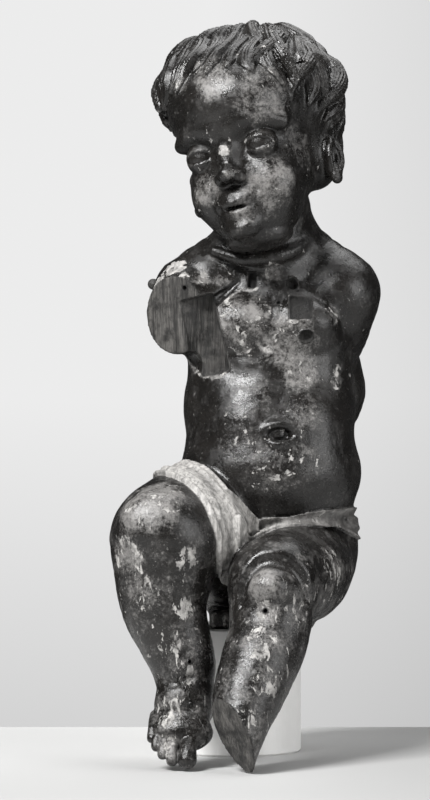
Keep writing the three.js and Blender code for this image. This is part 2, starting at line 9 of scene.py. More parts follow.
import bmesh
import bpy
import numpy as np
from bpy.props import FloatProperty, FloatVectorProperty, IntProperty, PointerProperty
from mathutils import Euler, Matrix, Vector


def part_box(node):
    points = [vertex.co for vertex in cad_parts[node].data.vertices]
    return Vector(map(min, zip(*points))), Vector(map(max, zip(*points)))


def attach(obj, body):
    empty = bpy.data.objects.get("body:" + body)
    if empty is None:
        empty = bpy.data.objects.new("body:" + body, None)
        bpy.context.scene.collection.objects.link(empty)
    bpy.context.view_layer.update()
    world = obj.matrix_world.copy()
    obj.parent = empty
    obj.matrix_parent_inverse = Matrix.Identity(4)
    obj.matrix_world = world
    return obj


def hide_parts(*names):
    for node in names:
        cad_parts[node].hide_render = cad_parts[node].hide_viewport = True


bl_info = {
    "name": "Seated Putto",
    "version": (1, 0, 0),
    "blender": (4, 5, 0),
    "location": "3D View > Sidebar > Putto",
    "description": "A carved and painted wooden putto, worn and broken, on a round block",
    "category": "Add Mesh",
}

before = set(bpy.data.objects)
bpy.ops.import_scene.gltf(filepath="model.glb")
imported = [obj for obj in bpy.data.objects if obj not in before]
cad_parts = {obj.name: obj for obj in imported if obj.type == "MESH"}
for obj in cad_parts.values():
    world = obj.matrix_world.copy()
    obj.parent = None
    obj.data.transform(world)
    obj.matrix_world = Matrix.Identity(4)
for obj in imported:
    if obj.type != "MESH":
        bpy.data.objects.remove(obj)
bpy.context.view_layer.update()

MM = 0.001
SEAT_GAP = 0.3  # between the block and the figure's seat
SEAT_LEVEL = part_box("support_block")[1][2] / MM + SEAT_GAP
FAR = 1e3  # the distance that a field starts from, where it has no form yet


# Rounded forms


class Form:
    """A rounded form: a function that gives its signed distance at many points, and the box that it fills."""

    def __init__(self, distance, low, high):
        self.distance = distance
        self.low = np.asarray(low, "f4")
        self.high = np.asarray(high, "f4")


def unit(v):
    v = np.asarray(v, "f8")
    return v / np.linalg.norm(v)


def turned(turn):
    """The axes after a turn by angles in degrees about X, then Y, then Z."""
    return np.array(Euler([math.radians(a) for a in turn], "XYZ").to_matrix(), "f4")


def egg(centre, radii, turn=(0, 0, 0)):
    """An ellipsoid."""
    centre = np.array(centre, "f4")
    radii = np.array(radii, "f4")
    axes = turned(turn)

    def distance(points):
        q = ((points - centre) @ axes) / radii
        near = np.sqrt((q * q).sum(1))
        q /= radii
        return near * (near - 1) / (np.sqrt((q * q).sum(1)) + 1e-9)

    reach = radii if not any(turn) else np.full(3, radii.max())
    return Form(distance, centre - reach, centre + reach)


def slab(centre, halves, rounding, axes=None):
    """A box with rounded edges, by its half sizes along its axes."""
    centre = np.array(centre, "f4")
    inner = np.array(halves, "f4") - rounding
    reach = np.array(halves, "f4") if axes is None else np.full(3, np.linalg.norm(halves), "f4")
    axes = np.eye(3, dtype="f4") if axes is None else np.asarray(axes, "f4")

    def distance(points):
        gap = np.abs((points - centre) @ axes) - inner
        out = np.maximum(gap, 0)
        return np.sqrt((out * out).sum(1)) + np.minimum(gap.max(1), 0) - rounding

    return Form(distance, centre - reach, centre + reach)


def smooth_path(points, steps):
    """Places along a curve through the points, with that many steps between each two."""
    points = np.array(points, "f8")
    ends = np.vstack([2 * points[0] - points[1], points, 2 * points[-1] - points[-2]])
    path = []
    for i in range(len(points) - 1):
        p0, p1, p2, p3 = ends[i : i + 4]
        t0, t1, t2 = (max(np.linalg.norm(b - a), 1e-6) ** 0.5 for a, b in ((p0, p1), (p1, p2), (p2, p3)))
        m1 = ((p1 - p0) / t0 - (p2 - p0) / (t0 + t1) + (p2 - p1) / t1) * t1
        m2 = ((p2 - p1) / t1 - (p3 - p1) / (t1 + t2) + (p3 - p2) / t2) * t1
        for step in range(steps):
            t = step / steps
            a, b = 2 * t**3 - 3 * t**2 + 1, t**3 - 2 * t**2 + t
            c, d = 3 * t**2 - 2 * t**3, t**3 - t**2
            path.append(a * p1 + b * m1 + c * p2 + d * m2)
    path.append(points[-1])
    return np.array(path)


def limb(*stations, steps=4, strands=0, groove=0.0, outward=(0, 0, 0)):
    """A smooth round form through stations (x, y, z, radius). With strands it is a lock, cut along its length
    by that many grooves round it, and outward is the place that its top faces away from."""
    stations = np.array(stations, "f8")
    path = smooth_path(stations[:, :3], steps)
    sizes = np.interp(np.arange(len(path)) / steps, np.arange(len(stations)), stations[:, 3])
    start = path[:-1].astype("f4")
    run = np.diff(path, axis=0).astype("f4")
    length = (run * run).sum(1) + 1e-9
    size = sizes[:-1].astype("f4")
    growth = np.diff(sizes).astype("f4")
    way = run / np.sqrt(length)[:, None]
    up = start + run / 2 - np.asarray(outward, "f4")
    up -= (up * way).sum(1)[:, None] * way
    up /= np.linalg.norm(up, axis=1)[:, None] + 1e-9
    side = np.cross(way, up)

    def distance(points):
        across = points[:, None, :] - start
        along = np.clip((across * run).sum(2) / length, 0, 1)
        across -= along[:, :, None] * run
        far = np.sqrt((across * across).sum(2)) - (size + along * growth)
        if not strands:
            return far.min(1)
        nearest = far.argmin(1)
        row = np.arange(len(points))
        out = across[row, nearest]
        turn = np.arctan2((out * side[nearest]).sum(1), (out * up[nearest]).sum(1))
        depth = groove * np.minimum(1, size[nearest] / 6)
        return far[row, nearest] + depth * (1 - np.abs(np.cos(turn * (strands / 2))))

    reach = sizes[:, None]
    return Form(distance, (path - reach).min(0), (path + reach).max(0))


def rise(value, low, high):
    """0 below low and 1 above high, with a smooth rise between."""
    t = np.clip((value - low) / (high - low), 0, 1)
    return t * t * (3 - 2 * t)


def joined(a, b, softness):
    h = np.maximum(softness - np.abs(a - b), 0) / softness
    return np.minimum(a, b) - h * h * softness * 0.25


class Heap:
    """Forms joined or cut in order, each with the softness of its join. Only those near a place count."""

    def __init__(self, *forms):
        self.forms = [form for form, _ in forms]
        self.softness = np.array([k for _, k in forms], "f4")
        self.low = np.array([form.low for form in self.forms])
        self.high = np.array([form.high for form in self.forms])

    def near(self, low, high):
        gap = np.maximum(np.maximum(self.low - high, low - self.high), 0)
        return np.nonzero((gap * gap).sum(1) < (self.softness + 4) ** 2)[0]

    def add_to(self, d, points, low, high):
        for n in self.near(low, high):
            d = joined(d, self.forms[n].distance(points), self.softness[n])
        return d

    def cut_from(self, d, points, low, high):
        for n in self.near(low, high):
            d = -joined(-d, self.forms[n].distance(points), self.softness[n])
        return d


# The figure's forms

SIDES = (-1, 1)  # its own right, then its left

TORSO = Heap(
    (egg((31, 3, 325), (67, 47, 58)), 1),
    (egg((30, 0, 275), (69, 51, 50)), 20),
    (egg((31, -9, 222), (72, 60, 54)), 22),
    (egg((32, 4, 165), (69, 54, 52)), 20),
    (egg((60, 26, 147), (38, 42, 41)), 14),
    (egg((-2, 26, 147), (40, 42, 41)), 14),
    (slab((23, -2, 107), (41, 48, 8), 5), 4),
    (egg((14, -19, 260), (32, 38, 39)), 16),
    (egg((56, -19, 255), (30, 38, 36)), 16),
    (egg((55, -30, 340), (27, 17, 20)), 10),
    (egg((7, -30, 340), (27, 17, 20)), 10),
    (limb((34, 14, 380, 42), (30, 6, 402, 37), (26, 0, 432, 37)), 16),
    (limb((54, 12, 402, 22), (85, 11, 366, 33)), 14),
    (limb((8, 12, 398, 26), (-25, 9, 362, 39)), 14),
)
TORSO_HOLLOWS = Heap(
    (egg((37, -66, 253), (12, 10.5, 7.5)), 4),
    (limb((-10, -50, 302, 1), (30, -60, 297, 1), (74, -47, 304, 1)), 12),
    (limb((30, 58, 350, 3), (30, 60, 290, 4), (30, 62, 230, 3)), 10),
    (limb((29, 74, 172, 3), (29, 72, 140, 4), (29, 60, 118, 3)), 8),
)
TORSO_RELIEFS = Heap(
    (egg((36, -55.5, 252.5), (6, 5, 4.6)), 1.5),
    (limb((22, -58.5, 254, 2.2), (30, -60, 260, 3), (41, -60, 260.5, 3), (51, -58, 254, 2.2)), 5),
    (limb((24, -60, 250, 1.8), (36, -63.5, 245, 2.6), (50, -60, 250, 1.8)), 4),
    (limb((66, -2, 414, 4), (45, -27, 397, 6), (10, -32, 391, 6), (-14, -20, 398, 4)), 4),
)
CREASES = Heap(
    (limb((-57, -127, 69, 1.4), (-45, -137.5, 65, 2.2), (-32, -134, 69, 1.4)), 5),
    (limb((-58, -134, 46, 1.2), (-44, -146, 44, 1.6), (-28, -140, 48, 1.2)), 5),
)
LEFT_ARM = Heap(
    (limb((82, 10, 364, 35), (82, 19, 342, 30), (77, 34, 318, 25)), 8),
    (limb((80, 44, 308, 25), (84, 53, 286, 25), (79, 61, 266, 21), (66, 66, 250, 16)), 3),
    (egg((50, 66, 240), (20, 13, 17), (0, 25, 0)), 6),
)


def finger(n):
    """One finger of the hand behind its back, counted from the top."""
    return limb((48 - 3 * n, 76, 249 - 9 * n, 5.4), (36 - n, 74, 244 - 8 * n, 5), (30, 67, 242 - 7 * n, 4.4))


FINGERS = Heap(*[(finger(n), 1.6) for n in range(4)])
ARM_STUB = Heap((limb((-22, 6, 352, 33), (-60, -44, 342, 28)), 10))

RIGHT_LEG = Heap(
    (limb((4, 0, 162, 46), (-28, -40, 182, 46), (-49, -88, 175, 44)), 5),
    (
        limb(
            (-51, -98, 168, 43),
            (-53, -101, 146, 38),
            (-53, -104, 123, 33),
            (-46, -107, 100, 28.5),
            (-38, -111, 78, 25),
            (-36, -114, 62, 22),
        ),
        8,
    ),
    (egg((-59, -122, 184), (27, 18, 25)), 12),
    (egg((-38, -124, 46), (22, 18, 24)), 6),
    (egg((-39, -135, 27), (24, 15, 15)), 8),
    (egg((-28, -104, 46), (14, 18, 20)), 8),
)
# The tips of the toes from the big one outwards, as x, y, z and radius
TOE_TIPS = (
    (-34.5, -156, 8.8, 7.2),
    (-46, -154, 8.4, 4.7),
    (-53, -150.5, 12.4, 4.3),
    (-58, -145.5, 17.8, 4.1),
    (-61.5, -140, 23.4, 3.8),
)
TOES = Heap(
    *[
        (limb((x + 2, y + 17, z + 16, r), (x + 0.5, y + 5, z + 8, r * 0.9), (x, y, z, r)), 0.7)
        for x, y, z, r in TOE_TIPS
    ]
)
LEFT_LEG = Heap(
    (limb((57, -4, 150, 41), (52, -48, 144, 40), (33, -106, 142, 35)), 5),
    (
        limb(
            (30, -112, 135, 33),
            (28, -121, 102, 31),
            (20.5, -136, 81, 30),
            (12, -151, 59, 27),
            (6, -164, 39, 22),
            (2, -177, 15, 16),
            (3, -180, 3, 12),
        ),
        8,
    ),
    (egg((29, -134, 137), (19, 19, 17)), 3),
)


def cloth_band(*runs):
    """Runs of the loincloth, each a list of stations as x, y, z and half the cloth's width."""
    return Heap(*[(limb(*run), 1) for run in runs])


RIGHT_CLOTH = cloth_band(
    ((-68, 14, 200, 14), (-56, -26, 228, 14), (-40, -66, 228, 18), (-22, -88, 209, 21), (-8, -98, 188, 23)),
    ((-8, -98, 188, 23), (0, -98, 166, 22), (3, -94, 150, 14)),
    ((-16, -88, 206, 14), (0, -80, 193, 15), (14, -68, 180, 12)),
    ((2, -56, 150, 12), (0, -58, 124, 9)),
)
LEFT_CLOTH = cloth_band(
    (
        (-4, -84, 174, 13),
        (11, -73, 173, 10),
        (21, -61, 178, 9),
        (45, -63, 184, 6),
        (71, -52, 187, 6.5),
        (89, -36, 186, 8.5),
        (103, -4, 182, 13),
    ),
    ((103, -4, 182, 13), (106, 26, 178, 12), (88, 58, 172, 12), (58, 72, 168, 12), (30, 74, 168, 12)),
    ((30, 74, 168, 12), (0, 70, 170, 12), (-26, 56, 174, 12), (-38, 34, 182, 12), (-43, 8, 196, 12)),
    ((-43, 8, 196, 12), (-47, -16, 211, 13), (-50, -38, 221, 14)),
)
# The cloth's end between the thighs, and three folds over it
APRON = Heap(
    (
        limb((-9, -84, 196, 12), (-2, -88, 180, 13.5), (1, -92, 163, 10), (2, -95, 150, 6), (1, -96, 142, 3)),
        6,
    ),
    (limb((-13, -99, 192, 2.2), (-6, -102, 172, 2.4), (0, -100, 148, 1.5)), 2.5),
    (limb((5, -98, 190, 2.2), (4, -101, 172, 2.4), (2, -100, 148, 1.5)), 2.5),
    (limb((-15, -96, 182, 1.6), (-3, -103, 168, 2.0), (9, -95, 178, 1.6)), 2.5),
)
FOLD_SPACING, FOLD_HEIGHT = 9.0, 1.3

# The head, in its own frame: x to its left, y back and z up, from the middle of the skull
HEAD_PLACE = np.array((15, -5, 506), "f4")
HEAD_TURN = turned((1, -12, -23))  # nods down, leans to its right, turns to its right
SKULL_MIDDLE = (0, 5, 3)

HEAD = Heap(
    (egg((0, 12, 6), (66, 70, 61)), 1),
    (egg((-26, 2, 26), (40, 52, 36)), 12),
    (egg((0, -36, 5), (50, 41, 41)), 14),
    (egg((0, -20, -46), (48, 48, 48)), 12),
    *[(egg((s * 38, 16, -40), (20, 28, 28)), 10) for s in SIDES],
    *[(egg((s * 23, -43, -62), (21, 23, 23)), 12) for s in SIDES],
    (egg((0, -32, -84), (33, 36, 21)), 10),
    (egg((0, -63, -92), (13, 12, 10)), 8),
    (egg((0, -34, -100), (27, 26, 11)), 4),
    (limb((0, -63, -18, 8), (0, -70, -44, 6.5)), 9),
    (egg((0, -75, -51), (7.5, 9, 7)), 4),
    *[(egg((s * 8, -70, -53), (5.5, 7, 5.5)), 3) for s in SIDES],
    (egg((0, -66, -72), (17, 9, 11)), 7),
    *[(limb((s * 9, -68, -14, 5), (s * 27, -63, -11, 5), (s * 44, -49, -17, 5)), 9) for s in SIDES],
)
FACE_HOLLOWS = Heap(
    *[(egg((s * 26, -78, -30), (14, 14, 10)), 8) for s in SIDES],
    *[(limb((s * 3.6, -73, -60, 2.2), (s * 4.4, -78, -57.5, 2.4)), 1.5) for s in SIDES],
    *[(limb((s * 15, -72, -50, 1), (s * 15.5, -70, -57, 1.4), (s * 19, -67, -66, 1.2)), 4) for s in SIDES],
    (limb((0, -78, -62, 1.6), (0, -77, -68, 1.8)), 2),
    (egg((0, -76, -77), (12.5, 9, 2.3)), 1.6),
    *[(egg((s * 14.5, -70, -76.5), (3, 4, 3)), 3) for s in SIDES],
    (limb((-9, -74, -88, 1.2), (0, -76.5, -89, 1.6), (9, -74, -88, 1.2)), 5),
    (limb((-30, -52, -104, 1.2), (0, -66, -103.5, 1.6), (30, -52, -104, 1.2)), 4),
)
LIPS = Heap(
    (
        limb(
            (-12, -67, -76, 1.6),
            (-4.5, -72.5, -72.5, 3),
            (0, -73, -73.4, 2.6),
            (4.5, -72.5, -72.5, 3),
            (12, -67, -76, 1.6),
        ),
        1.8,
    ),
    (limb((-10, -67, -78, 1.8), (0, -70.8, -82, 4), (10, -67, -78, 1.8)), 1.8),
)
EYES = [np.array((s * 25, -55, -31), "f4") for s in SIDES]
EYEBALL, LID = 12.2, 13.5  # radii


def ear(s):
    """One ear's body, hollow, and then its rim, lobe and inner fold."""
    centre = np.array((s * 56.5, 6, -47))
    up = unit((0, 0.22, 1.0))
    back = np.array((s * 0.5, 0.85, -0.15))

    def rim(turns, long, wide, thick, out):
        places = []
        for turn, part in turns:
            a = math.radians(turn)
            x, y, z = centre + back * (wide * math.sin(a)) + up * (long * math.cos(a))
            places.append((x + s * out, y, z, thick * part))
        return limb(*places)

    body = (egg(centre, (6, 11, 17), (0, s * 8, s * 24)), 4)
    hollow = (egg(centre + (s * 7, -3, -1), (5, 6, 10), (0, 0, s * 24)), 2)
    helix = (rim(((-70, 0.8), (-30, 1), (10, 1.1), (55, 1.1), (100, 1), (140, 0.9)), 16, 9.5, 2.4, 2.0), 1.8)
    lobe = (egg(centre - up * 16 + back + (s * 3, 0, 0), (4.5, 6, 6)), 3)
    fold = (rim(((10, 0.8), (60, 1), (110, 1), (150, 0.8)), 9, 5, 2.0, 2.5), 2)
    return body, hollow, (helix, lobe, fold)


ears = [ear(s) for s in SIDES]
EAR_BODIES = Heap(*[body for body, _, _ in ears])
EAR_HOLLOWS = Heap(*[hollow for _, hollow, _ in ears])
EAR_RIMS = Heap(*[form for _, _, rims in ears for form in rims])

# The hair: two sheets of locks that run from a whorl behind the top of the skull, then single locks beside
# the face. Places on it go by the turn round the skull from the brow and the angle down from the whorl.
HAIR_TILT = math.radians(-24)
TILT_COS, TILT_SIN = math.cos(HAIR_TILT), math.sin(HAIR_TILT)
SKULL_RADII = (66, 77, 64)

# Where the hair ends: the turn, and the angle there
HAIRLINE = (
    (-180, 134),
    (-140, 134),
    (-112, 118),
    (-98, 90),
    (-50, 90),
    (-36, 93),
    (-24, 91),
    (-8, 87),
    (5, 87),
    (14, 92),
    (34, 93),
    (45, 98),
    (55, 102),
    (85, 106),
    (98, 110),
    (112, 116),
    (132, 121),
    (150, 134),
    (180, 134),
)
# The under and the upper sheet: a lock's width and the first one's offset, how far down the sheet reaches,
# its least thickness and a lock's swell, its sideways wave, how far its middle runs past its edges, and how
# many strands it has
HAIR_SHEETS = (
    dict(width=13.0, start=0.2, reach=1.0, thickness=3.0, swell=3.6, wave=6.0, point=11, strands=4),
    dict(width=17.5, start=0.6, reach=0.66, thickness=6.6, swell=3.8, wave=-7.0, point=14, strands=5),
)
# Single locks: turn, angle of the top and the tip, radius, sideways swing, and how far the middle stands off
SIDE_LOCKS = (
    dict(turn=36, top=29, tip=98, radius=8.6, swing=13, lift=7),
    dict(turn=50, top=36, tip=105, radius=9, swing=-8, lift=7),
    dict(turn=64, top=44, tip=104, radius=9.5, swing=8, lift=8),
    dict(turn=78, top=52, tip=104, radius=11, swing=-7, lift=9),
    dict(turn=91, top=58, tip=106, radius=13, swing=6, lift=10),
    dict(turn=108, top=64, tip=116, radius=9, swing=6, lift=2),
    dict(turn=-70, top=34, tip=83, radius=11.5, swing=-6, lift=7.5, curl=1),
    dict(turn=-84, top=36, tip=86, radius=12, swing=-6, lift=6, curl=1),
    dict(turn=-98, top=42, tip=87, radius=11.5, swing=-6, lift=5, curl=1),
    dict(turn=-60, top=20, tip=72, radius=10, swing=8, lift=10),
    dict(turn=-98, top=22, tip=74, radius=11.5, swing=8, lift=10),
    dict(turn=-78, top=22, tip=80, radius=9, swing=-8, lift=14),
)


def on_skull(turn, angle, lift):
    """A place over the skull, and no lower than the brow and temples that stand out of it."""
    a, p = math.radians(turn), math.radians(angle)
    x, y, z = math.sin(a) * math.sin(p), -math.cos(a) * math.sin(p), math.cos(p)
    y, z = y * TILT_COS - z * TILT_SIN, y * TILT_SIN + z * TILT_COS
    out = np.array([(radius + lift) * part for radius, part in zip(SKULL_RADII, (x, y, z))])
    far = np.linalg.norm(out)
    way = (out / far).astype("f4")
    skin = 110.0  # starts outside the head and closes in on its surface
    for _ in range(12):
        point = (np.array(SKULL_MIDDLE, "f4") + way * np.float32(skin))[None]
        skin -= float(HEAD.add_to(np.full(1, FAR, "f4"), point, point[0] - 30, point[0] + 30)[0])
    return np.array(SKULL_MIDDLE) + way * max(far, skin + lift)


def hair_lock(groove, turn, top, tip, radius, swing, lift, curl=0):
    """A single lock. With curl it stays thick and stands out at its tip."""
    stations = []
    for t in (0, 0.2, 0.4, 0.6, 0.8, 1):
        side = turn + swing * math.sin(math.pi * 1.6 * t)
        stand = lift * math.sin(math.pi * min(1 - 0.4 * curl, 0.15 + t * 0.8)) - 1
        thick = radius * (0.62 + 0.38 * math.sin(math.pi * t)) * (1 - (0.62 - 0.5 * curl) * t * t)
        stations.append((*on_skull(side, top + (tip - top) * t, stand - radius * 0.35), thick))
    strands = max(8, round(radius * 1.7))
    return limb(*stations, steps=3, strands=strands, groove=groove, outward=SKULL_MIDDLE), 1.2


def hair_sheets(points, skull):
    """The sheets of locks, over a skull whose distance is given at the points."""
    x, y, z = ((points - np.array(SKULL_MIDDLE, "f4")) / np.array(SKULL_RADII, "f4")).T
    y, z = y * TILT_COS + z * TILT_SIN, z * TILT_COS - y * TILT_SIN
    turn = np.degrees(np.arctan2(x, -y))
    angle = np.degrees(np.arctan2(np.sqrt(x * x + y * y), z))
    spread = np.clip(1.7 * np.sin(np.radians(angle)), 0, 1)
    hairline = np.interp(turn, *zip(*HAIRLINE))
    d = np.full(len(points), FAR, "f4")
    for kind in HAIR_SHEETS:
        flow = turn + kind["wave"] * np.sin(np.radians(angle * 5.0 + turn * 2))
        lock = flow / kind["width"] + kind["start"]
        number = np.floor(lock)
        part = lock - number
        wander = np.sin(number * 2.7 + kind["start"] * 5)
        off_middle = np.abs(2 * part - 1)
        edge = (hairline + 4 * wander) * kind["reach"] - kind["point"] * off_middle**1.4
        swell = (1 - off_middle**2.4) * (1 + 0.3 * wander)
        strand = 0.75 * np.cos(2 * math.pi * kind["strands"] * part) * (1 - off_middle**4)
        thick = kind["thickness"] + spread * (kind["swell"] * swell + strand)
        thick *= 0.45 + 0.55 * rise(edge - angle, 0, 18)
        d = np.minimum(d, -joined(thick - skull, 1.1 * (edge - angle), 1.6))
    return d


# The flat faces where the arm and the foot were joined on, as a place and the way that each faces, and how
# far from that place each one cuts. The shin's cut stays inside a cylinder along the shin.
SHOULDER_PLACE, SHOULDER_WAY = np.array((-44, -24, 344), "f4"), unit((-0.62, -0.78, -0.05)).astype("f4")
ANKLE_PLACE, ANKLE_WAY = np.array((-3, -168, 29), "f4"), unit((-0.76, -0.56, -0.3)).astype("f4")
SHIN_PLACE, SHIN_WAY = np.array((3, -176, 22), "f4"), unit((0.16, 0.45, 0.88)).astype("f4")
SHOULDER_REACH, SHIN_RADIUS, SHIN_REACH = 50, 27, 60
SEAT_FRONT, SEAT_DEPTH = -58, 12  # the flat seat lies behind this, and takes off no more than this
LOWEST = 0.6  # of the toes above the floor

# Cuts in the front, as x, z, width, height and depth, with a rounded or a square floor
RECESSES = (
    (54, 354.5, 17, 21, 4.5, False),
    (15.5, 375, 6.5, 12, 5, False),
    (47.8, 372, 9, 9, 6, True),
    (58.5, 330, 11, 9.5, 5, True),
    (-28, 352, 5, 7, 4, False),
)
# Where the chest split beside the arm
SPLIT = (slab((-22, -39, 331), (13.5, 13, 31), 2, turned((0, -13, 0))), egg((-25, -36, 322), (13, 13, 21)))

# Lines laid on the front, as stations x, z and radius: the slit over the chest, the crease round the knee,
# and the pale edges where the paint broke away
SLIT = ((-20, 353.5, 4.8), (-7, 364, 4.0), (5, 373.5, 1.6))
KNEE_CREASE = ((6, 124, 1.5), (9.5, 143, 3.6), (21, 157, 5.2), (37, 158, 5.4), (50.5, 148, 4.6), (57, 130, 2))
PALE_EDGES = (
    ((-36, 313, 1.2), (-30, 304, 1.3), (-22, 299, 1.3), (-8, 299, 1.3), (-5, 306, 1.0), (-6, 318, 0.6)),
    ((-15, 352, 1.2), (-4, 360, 1.3), (6, 367, 0.9)),
    ((46, 342.5, 0.7), (54, 342.5, 1.0), (62, 344.5, 0.7)),
    ((8, 368, 0.5), (12, 366, 0.8), (19, 368, 0.6)),
    ((14, 350, 0.5), (22, 344, 0.8), (30, 350, 0.7), (26, 356, 0.5)),
    ((-2, 322, 0.5), (6, 317, 0.8), (15, 320, 0.5)),
    ((20, 324, 0.5), (28, 318, 0.8), (34, 322, 0.5)),
)
# Holes left by nails: in the front, as x, z and radius, and in the hair, as a place in the head's own frame
NAIL_HOLES = ((36.5, 357.3, 1.5), (24.3, 120.5, 1.6), (-32.6, 80.8, 1.4), (-38, 368.5, 1.8))
HAIR_NAIL, HAIR_NAIL_RADIUS = (53.8, -22, 25), 1.9


class Head:
    """The head and hair as a field of distance in millimetres, negative inside the wood."""

    def __init__(self, strand_depth):
        self.locks = Heap(*[hair_lock(strand_depth, **lock) for lock in SIDE_LOCKS])
        place = np.array(HAIR_NAIL)
        way = unit(place - SKULL_MIDDLE)
        bottom, top = (*(place - way * 8), HAIR_NAIL_RADIUS), (*(place + way * 16), HAIR_NAIL_RADIUS)
        self.holes = Heap((limb(bottom, top), 0.5))

    def field(self, points, low, high):
        """The head's distance, at points in the figure's frame."""
        points = (points - HEAD_PLACE) @ HEAD_TURN
        spare = 25 if len(points) < 20 else 0  # for a few points far apart, such as the middles of bricks
        low, high = points.min(0) - spare, points.max(0) + spare
        d = np.full(len(points), FAR, "f4")
        skull = HEAD.add_to(d, points, low, high)
        d = EAR_BODIES.add_to(skull, points, low, high)
        d = FACE_HOLLOWS.cut_from(d, points, low, high)
        d = EAR_HOLLOWS.cut_from(d, points, low, high)
        d = EAR_RIMS.add_to(d, points, low, high)
        d = LIPS.add_to(d, points, low, high)
        for place in EYES:
            away = points - place
            far = np.sqrt((away * away).sum(1))
            if far.min() > 30:
                continue
            # The lids are a shell over the eyeball, open where the almond between them lies.
            x, z = away[:, 0], away[:, 2] + 0.5
            almond = (np.sqrt((x / 11.5) ** 2 + (z / np.where(z > 0, 5.4, 4.2)) ** 2) - 1) * 4.6
            d = joined(d, far - EYEBALL, 0.8)
            d = joined(d, np.where(away[:, 1] < 4, np.maximum(far - LID, -almond), 10), 1.0)
        d = joined(d, hair_sheets(points, skull), 0.8)
        d = self.locks.add_to(d, points, low, high)
        return self.holes.cut_from(d, points, low, high)


class Body:
    """The body, limbs and loincloth as a field of distance in millimetres, negative inside the wood."""

    def __init__(self, cloth_thickness):
        self.cloth_thickness = cloth_thickness
        self.holes = None
        holes = []
        for x, z, width, height, depth, rounded in RECESSES:
            place, way = self.front_at(x, z)
            side = unit(np.cross(way, (0, 0, 1)))
            axes = np.stack([side, way, np.cross(side, way)], 1)
            halves = (width / 2, depth, height / 2)
            rounding = min(width, height) / 2 - 0.2 if rounded else 1.2
            halves = (halves[0], depth + rounding, halves[2]) if rounded else halves
            centre = place + (way * rounding if rounded else 0)
            holes.append((slab(centre, halves, rounding, axes), 0.8))
        for x, z, radius in NAIL_HOLES:
            place, way = self.front_at(x, z)
            holes.append((limb((*(place - way * 9), radius), (*(place + way * 6), radius)), 0.6))
        self.slit, crease = self.laid(SLIT), self.laid(KNEE_CREASE)
        self.pale_edges = [self.laid(edge) for edge in PALE_EDGES]
        self.bare_holes = [form for form, _ in holes]
        self.holes = Heap(*[(form, 1.2) for form in SPLIT], *holes, (self.slit, 1.0), (crease, 5.0))

    def laid(self, stations):
        """A round line along the front."""
        return limb(*[(*self.front_at(x, z)[0], radius) for x, z, radius in stations])

    def dressed(self, d, under, cloth, points, low, high):
        """The field with a run of the loincloth over what lies under it."""
        runs = cloth.near(low, high)
        if not len(runs):
            return d
        band = np.min([cloth.forms[n].distance(points) for n in runs], axis=0)
        fold = FOLD_HEIGHT * np.cos(2 * np.pi * band / FOLD_SPACING)
        flatter = 1 - 0.45 * rise(points[:, 0] + np.maximum(points[:, 1], 0), 20, 60)
        thick = self.cloth_thickness * flatter + fold
        return np.minimum(d, -joined(thick - under, -band, 2.0))

    def field(self, points, low, high):
        """The body's distance, at points inside the box from low to high."""
        d = np.full(len(points), FAR, "f4")
        d = TORSO.add_to(d, points, low, high)
        d = TORSO_HOLLOWS.cut_from(d, points, low, high)
        d = TORSO_RELIEFS.add_to(d, points, low, high)
        d = LEFT_ARM.add_to(d, points, low, high)
        d = FINGERS.add_to(d, points, low, high)
        d = ARM_STUB.add_to(d, points, low, high)
        empty = np.full(len(points), FAR, "f4")
        right = TOES.add_to(RIGHT_LEG.add_to(empty, points, low, high), points, low, high)
        left = LEFT_LEG.add_to(empty, points, low, high)
        on_right, on_left = joined(d, right, 5), joined(d, left, 5)
        d = joined(on_right, left, 5)
        d = CREASES.cut_from(d, points, low, high)
        d = self.dressed(d, on_right, RIGHT_CLOTH, points, low, high)
        d = self.dressed(d, on_left, LEFT_CLOTH, points, low, high)
        d = APRON.add_to(d, points, low, high)
        if self.holes:
            d = self.holes.cut_from(d, points, low, high)
        return self.cut_faces(d, points)

    def cut_faces(self, d, points):
        """The faces of the lost arm's and foot's joints, the seat and the lowest level."""
        away = points - SHOULDER_PLACE
        d = np.where(np.abs(away).max(1) < SHOULDER_REACH, np.maximum(d, away @ SHOULDER_WAY), d)
        away = points - SHIN_PLACE
        along = away @ SHIN_WAY
        beside = away - along[:, None] * SHIN_WAY
        round_shin = ((beside * beside).sum(1) < SHIN_RADIUS**2) & (np.abs(along) < SHIN_REACH)
        d = np.where(round_shin, np.maximum(d, (points - ANKLE_PLACE) @ ANKLE_WAY), d)
        over_block = (points[:, 1] > SEAT_FRONT) & (points[:, 2] < SEAT_LEVEL + SEAT_DEPTH)
        d = np.where(over_block, np.maximum(d, SEAT_LEVEL - points[:, 2]), d)
        return np.maximum(d, LOWEST - points[:, 2])

    def at(self, place):
        """The body's distance at one place."""
        point = np.array([place], "f4")
        return float(self.field(point, point[0] - 1, point[0] + 1)[0])

    def front_at(self, x, z):
        """Where a line along Y meets the figure's front, and the way that the surface faces there."""
        outside, inside = -210.0, -208.0
        while self.at((x, inside, z)) > 0:
            outside, inside = inside, inside + 2
            if inside > 60:
                raise ValueError(f"no front at {x}, {z}")
        for _ in range(12):
            middle = (outside + inside) / 2
            if self.at((x, middle, z)) > 0:
                outside = middle
            else:
                inside = middle
        place = np.array((x, inside, z), "f8")
        steps = np.eye(3) * 5
        return place, unit([self.at(place + step) - self.at(place - step) for step in steps])


# From the field to a mesh

BODY_LOW, BODY_HIGH = np.array((-102.0, -204.0, -2.0)), np.array((130.0, 96.0, 474.0))
HEAD_LOW, HEAD_HIGH = np.array((-74.0, -104.0, 388.0)), np.array((112.0, 96.0, 598.0))
BRICK = 8  # grid steps along one brick of the grid
AT_ONCE = 8  # middles of bricks in one column that are looked at together
AWAY = 50.0  # stands for any distance in a brick that the surface doesn't cross


